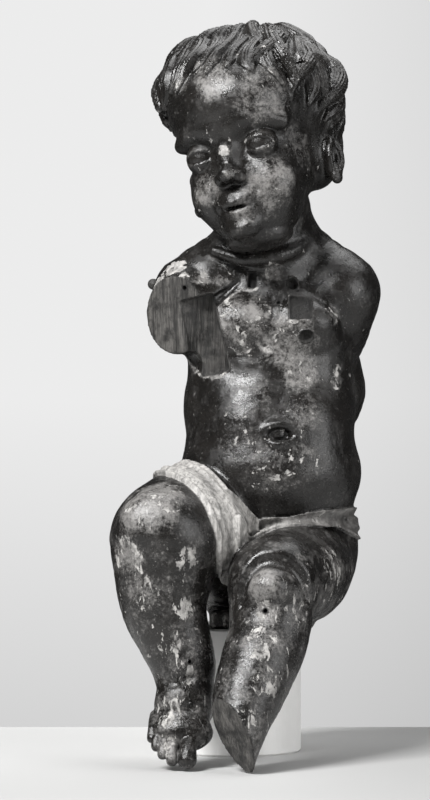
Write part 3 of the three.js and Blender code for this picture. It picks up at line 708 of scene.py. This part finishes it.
def fill_grid(field, low, high, step):
    """The field at each grid point near the surface, brick by brick; elsewhere only its sign is kept."""
    counts = np.ceil((high - low) / (step * BRICK)).astype(int)
    values = np.full(counts * BRICK + 1, AWAY, "f4")
    side = step * BRICK
    local = step * np.stack(np.meshgrid(*[np.arange(BRICK + 1)] * 3, indexing="ij"), -1).reshape(-1, 3)
    for i, j in np.ndindex(*counts[:2]):
        heights = low[2] + side * (0.5 + np.arange(counts[2]))
        column = np.empty((counts[2], 3), "f4")
        column[:, :2] = low[:2] + side * (np.array((i, j)) + 0.5)
        column[:, 2] = heights
        parts = [column[k : k + AT_ONCE] for k in range(0, counts[2], AT_ONCE)]
        middle = np.concatenate([field(part, part[0] - 25, part[-1] + 25) for part in parts])
        for k, value in enumerate(middle):
            x, y, z = i * BRICK, j * BRICK, k * BRICK
            spot = slice(x, x + BRICK + 1), slice(y, y + BRICK + 1), slice(z, z + BRICK + 1)
            if abs(value) < 1.3 * side:
                corner = low + np.array((x, y, z)) * step
                points = (local + corner).astype("f4")
                values[spot] = field(points, points[0], points[-1]).reshape([BRICK + 1] * 3)
            elif value < 0:
                part = values[spot]
                part[part == AWAY] = -AWAY
    return values


def surface(values, low, step):
    """A place in each grid cell that the surface crosses, and a face round each grid edge that it crosses."""
    inside = values < 0
    cell = [slice(None, -1), slice(1, None)]
    corners = sum(inside[a, b, c].astype("u1") for a in cell for b in cell for c in cell)
    cells = np.argwhere((corners > 0) & (corners < 8))
    number = np.full(corners.shape, -1, "i4")
    number[tuple(cells.T)] = np.arange(len(cells))
    total = np.zeros((len(cells), 3))
    count = np.zeros(len(cells))
    faces = []
    for axis in range(3):
        beside, beyond = (axis + 1) % 3, (axis + 2) % 3
        for b, c in ((0, 0), (0, 1), (1, 0), (1, 1)):
            start = cells.copy()
            start[:, beside] += b
            start[:, beyond] += c
            end = start.copy()
            end[:, axis] += 1
            first, last = values[tuple(start.T)], values[tuple(end.T)]
            crossed = (first < 0) != (last < 0)
            place = start[crossed].astype("f8")
            place[:, axis] += first[crossed] / (first[crossed] - last[crossed])
            total[crossed] += place
            count[crossed] += 1
        before, after = [slice(None)] * 3, [slice(None)] * 3
        before[axis], after[axis] = cell
        near, far = inside[tuple(before)], inside[tuple(after)]
        for leaving, edges in ((True, near & ~far), (False, far & ~near)):
            edges = np.argwhere(edges)
            ring = []
            for b, c in ((-1, -1), (0, -1), (0, 0), (-1, 0)):
                around = edges.copy()
                around[:, beside] += b
                around[:, beyond] += c
                ring.append(number[tuple(around.T)])
            ring = np.stack(ring, 1)
            faces.append(ring if leaving else ring[:, ::-1])
    return low + step * total / count[:, None], np.concatenate(faces)


def sample(values, low, step, points):
    """The field at any points, from the grid."""
    at = np.clip((points - low) / step, 0, np.array(values.shape) - 1.001)
    base = at.astype(int)
    part = at - base
    total = np.zeros(len(points))
    for corner in np.ndindex(2, 2, 2):
        weight = np.prod(np.where(corner, part, 1 - part), axis=1)
        total += weight * np.clip(values[tuple((base + corner).T)], -20, 20)
    return total


def mottle(points, size, seed):
    """Smooth random relief between -1 and 1, with bumps of about that size."""
    lattice = np.random.default_rng(seed).uniform(-1, 1, (32, 32, 32))
    at = points / size
    base = np.floor(at).astype(int)
    part = at - base
    part = part * part * (3 - 2 * part)
    total = np.zeros(len(points))
    for corner in np.ndindex(2, 2, 2):
        weight = np.prod(np.where(corner, part, 1 - part), axis=1)
        total += weight * lattice[tuple(((base + corner) % 32).T)]
    return total


def new_mesh(name, places, faces):
    """A Blender mesh from places in millimetres and faces with the same number of corners."""
    mesh = bpy.data.meshes.new(name)
    mesh.vertices.add(len(places))
    mesh.vertices.foreach_set("co", (places * MM).ravel())
    mesh.loops.add(faces.size)
    mesh.loops.foreach_set("vertex_index", faces.ravel())
    mesh.polygons.add(len(faces))
    mesh.polygons.foreach_set("loop_start", np.arange(len(faces)) * faces.shape[1])
    mesh.update(calc_edges=True)
    return mesh


def corners_of(mesh):
    places = np.empty(len(mesh.vertices) * 3, "f4")
    mesh.vertices.foreach_get("co", places)
    return places.reshape(-1, 3) / MM


def ways_of(mesh):
    ways = np.empty(len(mesh.vertices) * 3, "f4")
    mesh.vertex_normals.foreach_get("vector", ways)
    return ways.reshape(-1, 3)


def drop_crumbs(mesh):
    """Takes out the bits that hang loose from the mesh's main part."""
    form = bmesh.new()
    form.from_mesh(mesh)
    left, parts = set(form.verts), []
    while left:
        part, fresh = [], [left.pop()]
        while fresh:
            corner = fresh.pop()
            part.append(corner)
            around = {edge.other_vert(corner) for edge in corner.link_edges} & left
            left -= around
            fresh.extend(around)
        parts.append(part)
    crumbs = [corner for part in sorted(parts, key=len)[:-1] for corner in part]
    bmesh.ops.delete(form, geom=crumbs, context="VERTS")
    form.to_mesh(mesh)
    form.free()


def thinned(mesh, triangles):
    """The mesh with no more than that many triangles, fewest where it is flattest."""
    piece = bpy.data.objects.new("thinning", mesh)
    bpy.context.scene.collection.objects.link(piece)
    even = piece.modifiers.new("Triangles", "TRIANGULATE")
    even.quad_method = "SHORTEST_DIAGONAL"
    fewer = piece.modifiers.new("Fewer", "DECIMATE")
    fewer.ratio = min(1, triangles / (2 * len(mesh.polygons)))
    result = bpy.data.meshes.new_from_object(piece.evaluated_get(bpy.context.evaluated_depsgraph_get()))
    bpy.data.objects.remove(piece)
    bpy.data.meshes.remove(mesh)
    drop_crumbs(result)
    return result


def add_piece(name, mesh, slot, *nodes):
    """A new piece of the object, in place of CAD nodes where they are named."""
    piece = bpy.data.objects.new(name, mesh)
    bpy.context.scene.collection.objects.link(piece)
    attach(piece, "root")
    if nodes:
        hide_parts(*nodes)
    return piece


# Finishes


class Finish:
    """One material, laid out node by node on the piece's own coordinates."""

    def __init__(self, name):
        self.material = bpy.data.materials.new(name)
        self.material.use_nodes = True
        self.nodes = self.material.node_tree.nodes
        self.links = self.material.node_tree.links
        self.shader = self.nodes["Principled BSDF"]
        self.place = self.nodes.new("ShaderNodeTexCoord").outputs["Object"]

    def put(self, socket, value):
        if isinstance(value, bpy.types.NodeSocket):
            self.links.new(value, socket)
        elif isinstance(value, (int, float)):
            socket.default_value = value
        else:
            socket.default_value = (*value, 1)[: len(socket.default_value)]

    def sum(self, operation, a, b, limit=False):
        node = self.nodes.new("ShaderNodeMath")
        node.operation = operation
        node.use_clamp = limit
        self.put(node.inputs[0], a)
        self.put(node.inputs[1], b)
        return node.outputs[0]

    def stretch(self, factors):
        node = self.nodes.new("ShaderNodeVectorMath")
        node.operation = "MULTIPLY"
        self.links.new(self.place, node.inputs[0])
        node.inputs[1].default_value = factors
        return node.outputs[0]

    def noise(self, size, detail=4.0, roughness=0.55, warp=0.0, stretch=None):
        """Noise with features of about that size in millimetres."""
        node = self.nodes.new("ShaderNodeTexNoise")
        self.links.new(self.stretch(stretch) if stretch else self.place, node.inputs["Vector"])
        node.inputs["Scale"].default_value = 1000 / size
        node.inputs["Detail"].default_value = detail
        node.inputs["Roughness"].default_value = roughness
        node.inputs["Distortion"].default_value = warp
        return node.outputs["Fac"]

    def step(self, value, low, high):
        """0 below low and 1 above high, with a soft rise between."""
        node = self.nodes.new("ShaderNodeMapRange")
        node.interpolation_type = "SMOOTHSTEP"
        self.put(node.inputs["Value"], value)
        self.put(node.inputs["From Min"], low)
        self.put(node.inputs["From Max"], high)
        return node.outputs["Result"]

    def mix(self, factor, a, b, kind="MIX"):
        node = self.nodes.new("ShaderNodeMix")
        node.data_type = "RGBA"
        node.blend_type = kind
        self.put(node.inputs["Factor"], factor)
        self.put(node.inputs[6], a)
        self.put(node.inputs[7], b)
        return node.outputs[2]

    def masks(self, name):
        """The four masks painted on the piece's corners."""
        node = self.nodes.new("ShaderNodeAttribute")
        node.attribute_name = name
        parts = self.nodes.new("ShaderNodeSeparateColor")
        self.links.new(node.outputs["Color"], parts.inputs[0])
        return (*parts.outputs, node.outputs["Alpha"])

    def relief(self, height, distance):
        node = self.nodes.new("ShaderNodeBump")
        node.inputs["Distance"].default_value = distance
        self.put(node.inputs["Height"], height)
        self.put(self.shader.inputs["Normal"], node.outputs[0])

    def done(self, colour, roughness):
        self.put(self.shader.inputs["Base Color"], colour)
        self.put(self.shader.inputs["Roughness"], roughness)
        return self.material


def wood_grain(finish, dark, light):
    """Long fibres along the height, as on the split and sawn faces."""
    fibres = finish.noise(1.6, 5, 0.6, 0.3, (1, 1, 0.06))
    rings = finish.noise(7, 2, 0.5, 0.4, (1, 1, 0.1))
    grain = finish.sum("ADD", finish.sum("MULTIPLY", fibres, 0.65), finish.sum("MULTIPLY", rings, 0.35))
    smudges = finish.noise(11, 5, 0.65)
    wood = finish.mix(finish.step(grain, 0.36, 0.62), dark, light)
    return finish.mix(finish.step(smudges, 0.42, 0.66), wood, dark), grain


def painted_wood(settings):
    """Dark paint over a pale ground on wood, rubbed and flaked, with a pale loincloth, and painted shade in
    hollows, cuts and cracks.
    """
    finish = Finish("dark_worn_paint_with_painted_shade_and_sheen")
    # The masks: bare wood, cloth, painted shade in hollows, and long flakes; then rubbed, flaked and lost
    # paint, and painted shade in the split, the cuts and the slit.
    bare, cloth, hollow, runny = finish.masks("finish")
    rubbed, flaked, pale, dark = finish.masks("wear")
    wood, grain = wood_grain(finish, settings.wood_colour * 0.14, settings.wood_colour)

    # The paint itself: near black, with browner clouds where it is thin.
    cloudy = finish.noise(34, 5, 0.62)
    fine = finish.noise(2.6, 6, 0.7)
    paint = finish.mix(finish.step(cloudy, 0.4, 0.68), settings.paint_colour, settings.paint_colour * 1.9)
    grey = finish.sum("MULTIPLY", finish.step(fine, 0.52, 0.78), 0.4)
    paint = finish.mix(grey, paint, settings.rubbed_colour * 0.3)

    # Rubbed thin: a fine pale mottling, thicker in clouds and where the mask says so.
    speckle = finish.noise(2.4, 8, 0.8, 0.2)
    patches = finish.noise(13, 5, 0.62)
    texture = finish.sum("ADD", finish.sum("MULTIPLY", speckle, 2.4), finish.sum("MULTIPLY", patches, 1.7))
    rub = finish.step(finish.sum("ADD", finish.sum("MULTIPLY", rubbed, 0.8), texture), 2.26, 3.1)
    paint = finish.mix(finish.sum("MULTIPLY", rub, 0.85), paint, settings.rubbed_colour)
    dots = finish.step(finish.noise(1.5, 3, 0.6), 0.7, 0.74)
    paint = finish.mix(finish.sum("MULTIPLY", dots, 0.7), paint, settings.ground_colour)

    # Flakes: crisp patches of the pale ground, drawn out along the legs.
    dirt = finish.noise(6, 5, 0.7)
    ground = finish.mix(finish.step(dirt, 0.36, 0.66), settings.ground_colour * 0.4, settings.ground_colour)
    chips = finish.noise(8, 7, 0.66, 0.4)
    runs = finish.noise(6, 7, 0.7, 0.4, (1, 1, 0.42))
    loss = finish.sum("ADD", chips, finish.sum("MULTIPLY", finish.sum("SUBTRACT", runs, chips), runny))
    low = finish.sum("SUBTRACT", 0.7, finish.sum("MULTIPLY", flaked, 0.22))
    lost = finish.step(loss, low, finish.sum("ADD", low, 0.018))
    small = finish.noise(2.6, 5, 0.65, 0.3, (1, 1, 0.6))
    low = finish.sum("SUBTRACT", 0.76, finish.sum("MULTIPLY", flaked, 0.18))
    lost = finish.sum("MAXIMUM", lost, finish.step(small, low, finish.sum("ADD", low, 0.02)))
    patch = finish.sum("ADD", finish.sum("MULTIPLY", chips, 1.4), finish.sum("MULTIPLY", pale, 0.6))
    patch = finish.step(patch, 1.18, 1.21)
    lost = finish.sum("MAXIMUM", lost, patch)

    # The loincloth: pale paint, brushed and dirty.
    strokes = finish.noise(3.6, 6, 0.75, 0.5, (1, 1, 0.25))
    linen = finish.mix(finish.step(strokes, 0.36, 0.62), settings.cloth_colour * 0.35, settings.cloth_colour)
    linen = finish.mix(finish.step(speckle, 0.55, 0.7), linen, settings.paint_colour * 5)

    colour = finish.mix(lost, paint, ground)
    colour = finish.mix(cloth, colour, linen)
    colour = finish.mix(bare, colour, wood)
    # Painted shade: the colour is darkened toward the dark paint in hollows and crevices, and in the split,
    # the cuts and the slit.
    shade = finish.sum("ADD", finish.sum("MULTIPLY", hollow, 0.75), finish.sum("MULTIPLY", dark, 0.85), True)
    colour = finish.mix(shade, colour, settings.paint_colour * 0.7)

    matt = finish.sum("MAXIMUM", finish.sum("MAXIMUM", lost, bare), cloth)
    dull = finish.sum("MULTIPLY", finish.step(patches, 0.35, 0.75), 0.3)
    gloss = finish.sum("ADD", settings.paint_roughness, dull)
    roughness = finish.sum("ADD", gloss, finish.sum("MULTIPLY", matt, 0.35), True)

    height = finish.sum("SUBTRACT", finish.sum("MULTIPLY", fine, 0.6), finish.sum("MULTIPLY", lost, 0.7))
    height = finish.sum("ADD", height, finish.sum("MULTIPLY", rub, -0.12))
    height = finish.sum("ADD", height, finish.sum("MULTIPLY", cloudy, 2.0))
    height = finish.sum("ADD", height, finish.sum("MULTIPLY", finish.sum("MULTIPLY", grain, bare), 6.0))
    finish.relief(height, 0.0006)
    return finish.done(colour, roughness)


def peg_wood(settings):
    """A dark turned peg, streaked with its grain."""
    finish = Finish("dark_peg_wood")
    grain = finish.noise(1.2, 5, 0.65, 0.3, (0.2, 1, 1))
    dark, light = settings.wood_colour * 0.1, settings.wood_colour * 0.42
    colour = finish.mix(finish.step(grain, 0.35, 0.7), dark, light)
    finish.relief(grain, 0.0004)
    return finish.done(colour, finish.sum("ADD", finish.sum("MULTIPLY", grain, 0.3), 0.4))


def block_paint(settings):
    """Matt pale paint on the block, brushed on, with faint marks."""
    finish = Finish("pale_block_paint")
    strokes = finish.noise(3, 4, 0.6, 0.2, (1, 1, 0.12))
    marks = finish.noise(30, 5, 0.6)
    colour = finish.mix(finish.step(marks, 0.35, 0.75), settings.block_colour, settings.block_colour * 0.95)
    colour = finish.mix(finish.sum("MULTIPLY", strokes, 0.12), colour, settings.block_colour * 0.7)
    finish.relief(strokes, 0.00015)
    return finish.done(colour, finish.sum("ADD", finish.sum("MULTIPLY", strokes, 0.15), 0.6))


def floor_with_painted_light_and_shade(settings):
    """The matt table, with painted light making it a little paler behind the figure's toes, and painted shade
    making it duller to the right of it.
    """
    finish = Finish("floor_with_painted_light_and_shade")
    parts = finish.nodes.new("ShaderNodeSeparateXYZ")
    finish.put(parts.inputs[0], finish.place)
    # Painted light makes the table paler toward the back, and painted shade makes it darker to the right.
    back = finish.step(parts.outputs["Y"], -0.32, -0.06)
    right = finish.step(parts.outputs["X"], -0.02, 0.17)
    colour = finish.mix(back, settings.floor_colour, settings.floor_colour * 1.16)
    return finish.done(finish.mix(right, colour, settings.floor_colour * 0.82), 0.7)


# Settings


def colour(name, description, default):
    return FloatVectorProperty(
        name=name,
        description=description,
        default=default,
        subtype="COLOR",
        min=0,
        max=1,
    )


class PuttoSettings(bpy.types.PropertyGroup):
    """Sizes and colours of the putto."""

    body_step: FloatProperty(
        name="Body step",
        description="Spacing of the grid that the body is cut on",
        default=0.00125,
        min=0.0008,
        max=0.004,
        precision=5,
        unit="LENGTH",
    )
    head_step: FloatProperty(
        name="Head step",
        description="Spacing of the grid that the head is cut on",
        default=0.001,
        min=0.0006,
        max=0.003,
        precision=5,
        unit="LENGTH",
    )
    triangles: IntProperty(
        name="Triangles",
        description="Most in the body, and in the head",
        default=194000,
        min=20000,
    )
    strand_depth: FloatProperty(
        name="Strand depth",
        description="Depth of the cuts between the strands of hair",
        default=0.0016,
        min=0,
        max=0.004,
        precision=4,
        unit="LENGTH",
    )
    cloth_thickness: FloatProperty(
        name="Cloth thickness",
        description="How far the carved cloth stands proud of the body",
        default=0.0035,
        min=0.001,
        max=0.008,
        precision=4,
        unit="LENGTH",
    )
    paint_colour: colour("Paint", "The dark top coat", (0.0075, 0.0068, 0.0062))
    rubbed_colour: colour("Rubbed paint", "The top coat where it is rubbed thin", (0.25, 0.241, 0.232))
    ground_colour: colour("Ground", "The pale coat under the paint, seen in flakes", (0.5, 0.485, 0.465))
    wood_colour: colour("Wood", "Bare wood on broken and sawn faces", (0.125, 0.119, 0.111))
    cloth_colour: colour("Cloth", "The loincloth's paint", (0.48, 0.465, 0.445))
    block_colour: colour("Block", "The round block's paint", (0.93, 0.925, 0.91))
    floor_colour: colour("Floor", "The table that it stands on", (0.44, 0.44, 0.436))
    paint_roughness: FloatProperty(
        name="Paint roughness",
        description="From 0, wet gloss, to 1, chalky",
        default=0.18,
        min=0,
        max=1,
        subtype="FACTOR",
    )


# Pieces

# Worn places, as x, y, z and radius, and how far the paint there is rubbed thin, flaked and lost altogether
WORN_PLACES = (
    (-8, -78, 474, 11, 0.5, 0.5, 0.85),
    (29, -76, 448, 30, 0.9, 0.3, 0),
    (-21, -61, 444, 20, 0.9, 0.3, 0),
    (-13, -69, 530, 26, 0.85, 0.2, 0),
    (20, -66, 515, 36, 0.62, 0.15, 0),
    (8, -79, 424, 15, 0.7, 0.2, 0),
    (48, -50, 480, 24, 0.6, 0.3, 0),
    (-28, -60, 545, 18, 0.6, 0.6, 0.2),
    (30, -50, 560, 26, 0.3, 0.45, 0.05),
    (-45, -50, 530, 18, 0.7, 0.5, 0.1),
    (70, -20, 520, 26, 0.5, 0.4, 0.1),
    (-46, -14, 386, 17, 0.4, 0.5, 1.0),
    (-57, -10, 374, 15, 0.4, 0.5, 1.0),
    (-38, -26, 378, 9, 0.4, 0.6, 0.9),
    (-60, -12, 362, 8, 0.4, 0.6, 0.9),
    (-25, -26, 376, 13, 0.7, 0.7, 0.3),
    (-4, -38, 358, 8, 0.9, 0.9, 0.3),
    (7, -30, 384, 7, 0.5, 0.8, 0.5),
    (31, -30, 382, 13, 0.6, 0.7, 0.3),
    (-8, -30, 376, 14, 0.5, 0.2, 0),
    (6, -46, 343, 34, 0.8, 0.6, 0),
    (45, -45, 327, 34, 0.8, 0.5, 0),
    (53, -44, 304, 24, 0.9, 0.7, 0.1),
    (77, -30, 345, 14, 0.7, 0.7, 0.2),
    (14, -50, 284, 24, 0.45, 0.2, 0),
    (57, -50, 268, 24, 0.55, 0.2, 0),
    (4, -60, 250, 30, 0.35, 0.45, 0),
    (30, -66, 228, 34, 0.4, 0.55, 0),
    (60, -62, 235, 30, 0.3, 0.55, 0),
    (82, -30, 296, 12, 0.5, 0.8, 0.2),
    (-82, -129, 163, 26, 0.85, 0.85, 0.25),
    # The right thigh and knee are rubbed pale: worn paint, and also a painted sheen of light across the knee.
    (-63, -126, 203, 42, 0.95, 0.65, 0),
    (-2, -88, 455, 9, 0.8, 0.3, 0.2),
    (-68, -134, 135, 28, 0.65, 0.7, 0),
    (-35, -136, 160, 17, 0.4, 1.0, 0.3),
    (-35, -133, 122, 18, 0.4, 0.95, 0.25),
    (-48, -136, 95, 26, 0.4, 0.6, 0),
    (-38, -136, 72, 18, 0.5, 0.8, 0.1),
    (-50, -140, 42, 22, 0.7, 0.8, 0.15),
    (-46, -152, 16, 18, 0.7, 0.7, 0),
    (22, -148, 140, 22, 1.0, 0.5, 0.2),
    (26, -152, 120, 19, 0.85, 0.8, 0.2),
    (50, -138, 125, 26, 0.5, 0.7, 0),
    (78, -88, 148, 32, 0.6, 0.75, 0),
    (22, -158, 96, 26, 0.6, 0.8, 0.15),
    (25, -170, 70, 24, 0.5, 0.8, 0.15),
    (15, -178, 40, 24, 0.5, 0.7, 0),
)


# How far along the surface's own way a hollow, a crevice and a ridge are felt for
HOLLOW_FEEL, CREVICE_FEEL, RIDGE_FEEL = 4, 1.6, 2


def flat_face(points, place, way, reach):
    """Which points lie on a sawn face."""
    away = points - place
    return (np.abs(away @ way) < 0.45) & (np.abs(away).max(1) < reach)


def finish_masks(values, low, step, places, ways, body=None):
    """For each corner: bare wood, cloth, painted shade in hollows, long flakes; then paint rubbed, flaked and
    lost, and painted shade in the split, the cuts and the slit.
    """

    def clear(reach):
        return sample(values, low, step, places + ways * reach) / reach

    # Painted shade: the paint is darkened in hollows and crevices, where shade falls in them.
    hollow = rise(1 - clear(HOLLOW_FEEL), 0.15, 0.95)
    crevice_shade = rise(1 - clear(CREVICE_FEEL), 0.12, 0.8)
    hollow = np.maximum(hollow, 0.85 * crevice_shade)
    ridge_wear_and_highlight = rise(1 - clear(-RIDGE_FEEL), 0.15, 0.8)
    points = places.astype("f4")

    bare = flat_face(places, SHOULDER_PLACE, SHOULDER_WAY, 49) | flat_face(places, ANKLE_PLACE, ANKLE_WAY, 45)
    # Painted shade: the split, the floors of the cuts and the slit over the chest are darkened, where shade
    # falls in them.
    dark = np.zeros(len(points))
    if body:
        split = np.min([form.distance(points) for form in SPLIT], axis=0)
        cut = np.min([form.distance(points) for form in body.bare_holes], axis=0)
        bare = np.maximum(bare, 1 - rise(np.minimum(split, cut), 0.3, 1.4))
        dark = np.maximum(0.45 * (1 - rise(split, 0, 1)), 0.85 * (1 - rise(cut, 0.2, 1)))
        dark = np.maximum(dark, 1 - rise(body.slit.distance(points), 0.5, 1.7))

    cloth = np.zeros(len(places))
    low_part = (places[:, 2] > 100) & (places[:, 2] < 260)
    runs = [form.distance(points[low_part]) for form in RIGHT_CLOTH.forms + LEFT_CLOTH.forms + APRON.forms]
    cloth[low_part] = 1 - rise(np.min(runs, axis=0), 0.0, 1.2)
    # Towards its left hip the cloth's paint is dark, and the left knee has none.
    cloth *= 1 - 0.72 * rise(places[:, 0], 16, 62)
    left_knee = np.min([form.distance(points) for form in LEFT_LEG.forms], axis=0) < 2.4
    cloth[left_knee & (points[:, 1] < -90)] = 0
    runny = 1 - rise(places[:, 2], 130, 230)

    wear = np.zeros((len(places), 3))
    # A little rubbed and flaked everywhere, more on the legs; along ridges and edges the paint is worn, and
    # paler too as a painted highlight, as on the hair's strands.
    wear[:, 0], wear[:, 1] = 0.06 + 0.3 * runny + 0.5 * ridge_wear_and_highlight, 0.2 + 0.2 * runny + 0.35 * ridge_wear_and_highlight
    for x, y, z, radius, *amounts in WORN_PLACES:
        far = np.linalg.norm(places - (x, y, z), axis=1)
        wear = np.maximum(wear, (1 - rise(far, radius * 0.35, radius))[:, None] * amounts)
    for edge in body.pale_edges if body else ():
        wear = np.maximum(wear, (1 - rise(edge.distance(points), 0.2, 1.2))[:, None] * (0.9, 0.85, 0.85))
    return np.stack([bare, cloth, hollow, runny], 1), np.column_stack([wear, dark])


def carve(name, field, low, high, step, settings, body=None):
    """One painted piece of the figure, cut from its field."""
    values = fill_grid(field, low, high, step)
    places, faces = surface(values, low, step)
    if not len(places):
        raise RuntimeError(f"{name} came out empty")
    mesh = thinned(new_mesh(name, places, faces), settings.triangles)
    places, ways = corners_of(mesh), ways_of(mesh)
    finish, wear = finish_masks(values, low, step, places, ways, body)
    relief = 0.3 * mottle(places, 11, 3) + 0.15 * mottle(places, 4.5, 8)
    chest = 1 - rise(np.linalg.norm((places - (25, -45, 335)) * (0.8, 1, 1), axis=1), 30, 55)
    relief += chest * (0.5 * mottle(places, 7, 5) + 0.35 * mottle(places, 3.5, 6))
    places += ways * (relief * (1 - finish[:, 0]))[:, None]
    mesh.vertices.foreach_set("co", (places * MM).ravel())
    mesh.shade_smooth()
    for layer_name, masks in (("finish", finish), ("wear", wear)):
        layer = mesh.color_attributes.new(layer_name, "FLOAT_COLOR", "POINT")
        layer.data.foreach_set("color", masks.astype("f4").ravel())
    piece = add_piece(name, mesh, "painted_wood", "putto")
    piece.data.materials.append(bpy.data.materials.get("dark_worn_paint_with_painted_shade_and_sheen") or painted_wood(settings))


# Operators, one for each piece and one for the stage


class PUTTO_OT_body(bpy.types.Operator):
    """Carve the body, left arm, legs and loincloth, and paint and wear them"""

    bl_idname = "putto.body"
    bl_label = "Carve Body"

    def execute(self, context):
        settings = context.scene.putto
        step = settings.body_step / MM * 1
        body = Body(settings.cloth_thickness / MM)
        carve("putto_body", body.field, BODY_LOW, BODY_HIGH, step, settings, body)
        return {"FINISHED"}


class PUTTO_OT_head(bpy.types.Operator):
    """Carve the head and its hair, and paint and wear them"""

    bl_idname = "putto.head"
    bl_label = "Carve Head"

    def execute(self, context):
        settings = context.scene.putto
        step = settings.head_step / MM * 1
        head = Head(settings.strand_depth / MM)
        carve("putto_head", head.field, HEAD_LOW, HEAD_HIGH, step, settings)
        return {"FINISHED"}


class PUTTO_OT_peg(bpy.types.Operator):
    """Finish the wooden peg in the right shoulder"""

    bl_idname = "putto.peg"
    bl_label = "Finish Peg"

    def execute(self, context):
        finish = peg_wood(context.scene.putto)
        for slot in bpy.data.objects["shoulder_peg"].material_slots:
            slot.material = finish
        return {"FINISHED"}


class PUTTO_OT_block(bpy.types.Operator):
    """Paint the round block that the figure sits on"""

    bl_idname = "putto.block"
    bl_label = "Paint Block"

    def execute(self, context):
        finish = block_paint(context.scene.putto)
        for slot in bpy.data.objects["support_block"].material_slots:
            slot.material = finish
        return {"FINISHED"}


# The stage, in metres: the table's edge at the wall, how far it reaches otherwise, and the photograph's view
TABLE_BACK, TABLE_REACH = 0.19, 3
CAMERA_PLACE = (-0.0136, -2.7, 0.28)
CAMERA_LENS = 151.875  # in millimetres, on a frame 36 mm high

# Lights: name, place, what it is aimed at, size and power
LIGHTS = (
    ("key_light", (-1.9, -2.4, 3.2), (0, 0, 0.3), 1.4, 320),
    ("fill_light", (1.9, -1.2, 0.9), (0, 0, 0.3), 1.4, 24),
    ("top_light", (0.4, 0.6, 2.3), (0.1, 0.1, 0), 1.8, 38),
)

# Painted shade on the wall, by the way one looks at it: darker down to the table, and darker to the right
WALL_PAINTED_SHADE = (("Z", -0.1, 0, 0.645, 0.84), ("X", 0, 0.064, 1, 0.86))


def add_table(scene):
    """The table top, as far back as the wall."""
    form = bmesh.new()
    side = TABLE_REACH
    ends = ((-side, -side), (side, -side), (side, TABLE_BACK), (-side, TABLE_BACK))
    form.faces.new([form.verts.new((x, y, 0)) for x, y in ends])
    mesh = bpy.data.meshes.new("table_top")
    form.to_mesh(mesh)
    form.free()
    table = bpy.data.objects.new("table_top", mesh)
    scene.collection.objects.link(table)
    table.data.materials.append(floor_with_painted_light_and_shade(scene.putto))


def add_wall(scene):
    """The pale wall that the camera sees, with painted shade down to the table and to the right, and a faint
    even light in its place for the pieces.
    """
    world = bpy.data.worlds.new("plain_wall")
    scene.world = world
    world.use_nodes = True
    nodes, links = world.node_tree.nodes, world.node_tree.links
    nodes.clear()
    output = nodes.new("ShaderNodeOutputWorld")
    seen, light = nodes.new("ShaderNodeBackground"), nodes.new("ShaderNodeBackground")
    way, tone = nodes.new("ShaderNodeSeparateXYZ"), nodes.new("ShaderNodeMath")
    tone.operation = "MULTIPLY"
    links.new(nodes.new("ShaderNodeTexCoord").outputs["Generated"], way.inputs[0])
    for factor, (axis, *ends) in zip(tone.inputs, WALL_PAINTED_SHADE):
        fade = nodes.new("ShaderNodeMapRange")
        links.new(way.outputs[axis], fade.inputs["Value"])
        for socket, value in zip(("From Min", "From Max", "To Min", "To Max"), ends):
            fade.inputs[socket].default_value = value
        links.new(fade.outputs["Result"], factor)
    links.new(tone.outputs[0], seen.inputs["Color"])
    light.inputs["Color"].default_value = (0.9, 0.9, 0.9, 1)
    light.inputs["Strength"].default_value = 0.05
    path, either = nodes.new("ShaderNodeLightPath"), nodes.new("ShaderNodeMixShader")
    links.new(path.outputs["Is Camera Ray"], either.inputs[0])
    links.new(light.outputs[0], either.inputs[1])
    links.new(seen.outputs[0], either.inputs[2])
    links.new(either.outputs[0], output.inputs["Surface"])


def add_light(scene, name, place, aim, size, power):
    """A soft square light."""
    data = bpy.data.lights.new(name, "AREA")
    data.size = size
    data.energy = power
    light = bpy.data.objects.new(name, data)
    light.location = place
    light.rotation_euler = (Vector(aim) - Vector(place)).to_track_quat("-Z", "Y").to_euler()
    scene.collection.objects.link(light)


def add_camera(scene):
    """The photograph's camera: level, a long way off, straight in front."""
    data = bpy.data.cameras.new("photo_camera")
    data.lens = CAMERA_LENS
    data.sensor_width = 36
    data.clip_end = 50
    camera = bpy.data.objects.new("photo_camera", data)
    camera.location = CAMERA_PLACE
    camera.rotation_euler = (math.pi / 2, 0, 0)
    scene.collection.objects.link(camera)
    scene.camera = camera


class PUTTO_OT_stage(bpy.types.Operator):
    """Set up the pale table, the soft light, the plain background and the camera"""

    bl_idname = "putto.stage"
    bl_label = "Set Stage"

    def execute(self, context):
        scene = context.scene
        add_table(scene)
        add_wall(scene)
        for light in LIGHTS:
            add_light(scene, *light)
        add_camera(scene)
        scene.view_settings.view_transform = "Standard"
        return {"FINISHED"}


class PUTTO_PT_panel(bpy.types.Panel):
    """The putto's pieces and its sizes and colours"""

    bl_idname = "PUTTO_PT_panel"
    bl_label = "Putto"
    bl_space_type = "VIEW_3D"
    bl_region_type = "UI"
    bl_category = "Putto"

    def draw(self, context):
        for step in OPERATORS:
            self.layout.operator(step.bl_idname)
        for name in PuttoSettings.__annotations__:
            self.layout.prop(context.scene.putto, name)


OPERATORS = (PUTTO_OT_body, PUTTO_OT_head, PUTTO_OT_peg, PUTTO_OT_block, PUTTO_OT_stage)
CLASSES = (PuttoSettings, *OPERATORS, PUTTO_PT_panel)


def register():
    for kind in CLASSES:
        bpy.utils.register_class(kind)
    bpy.types.Scene.putto = PointerProperty(type=PuttoSettings)


def unregister():
    del bpy.types.Scene.putto
    for kind in reversed(CLASSES):
        bpy.utils.unregister_class(kind)


def main():
    register()
    bpy.ops.putto.body()
    bpy.ops.putto.head()
    bpy.ops.putto.peg()
    bpy.ops.putto.block()
    bpy.ops.putto.stage()


if __name__ == "__main__":
    main()
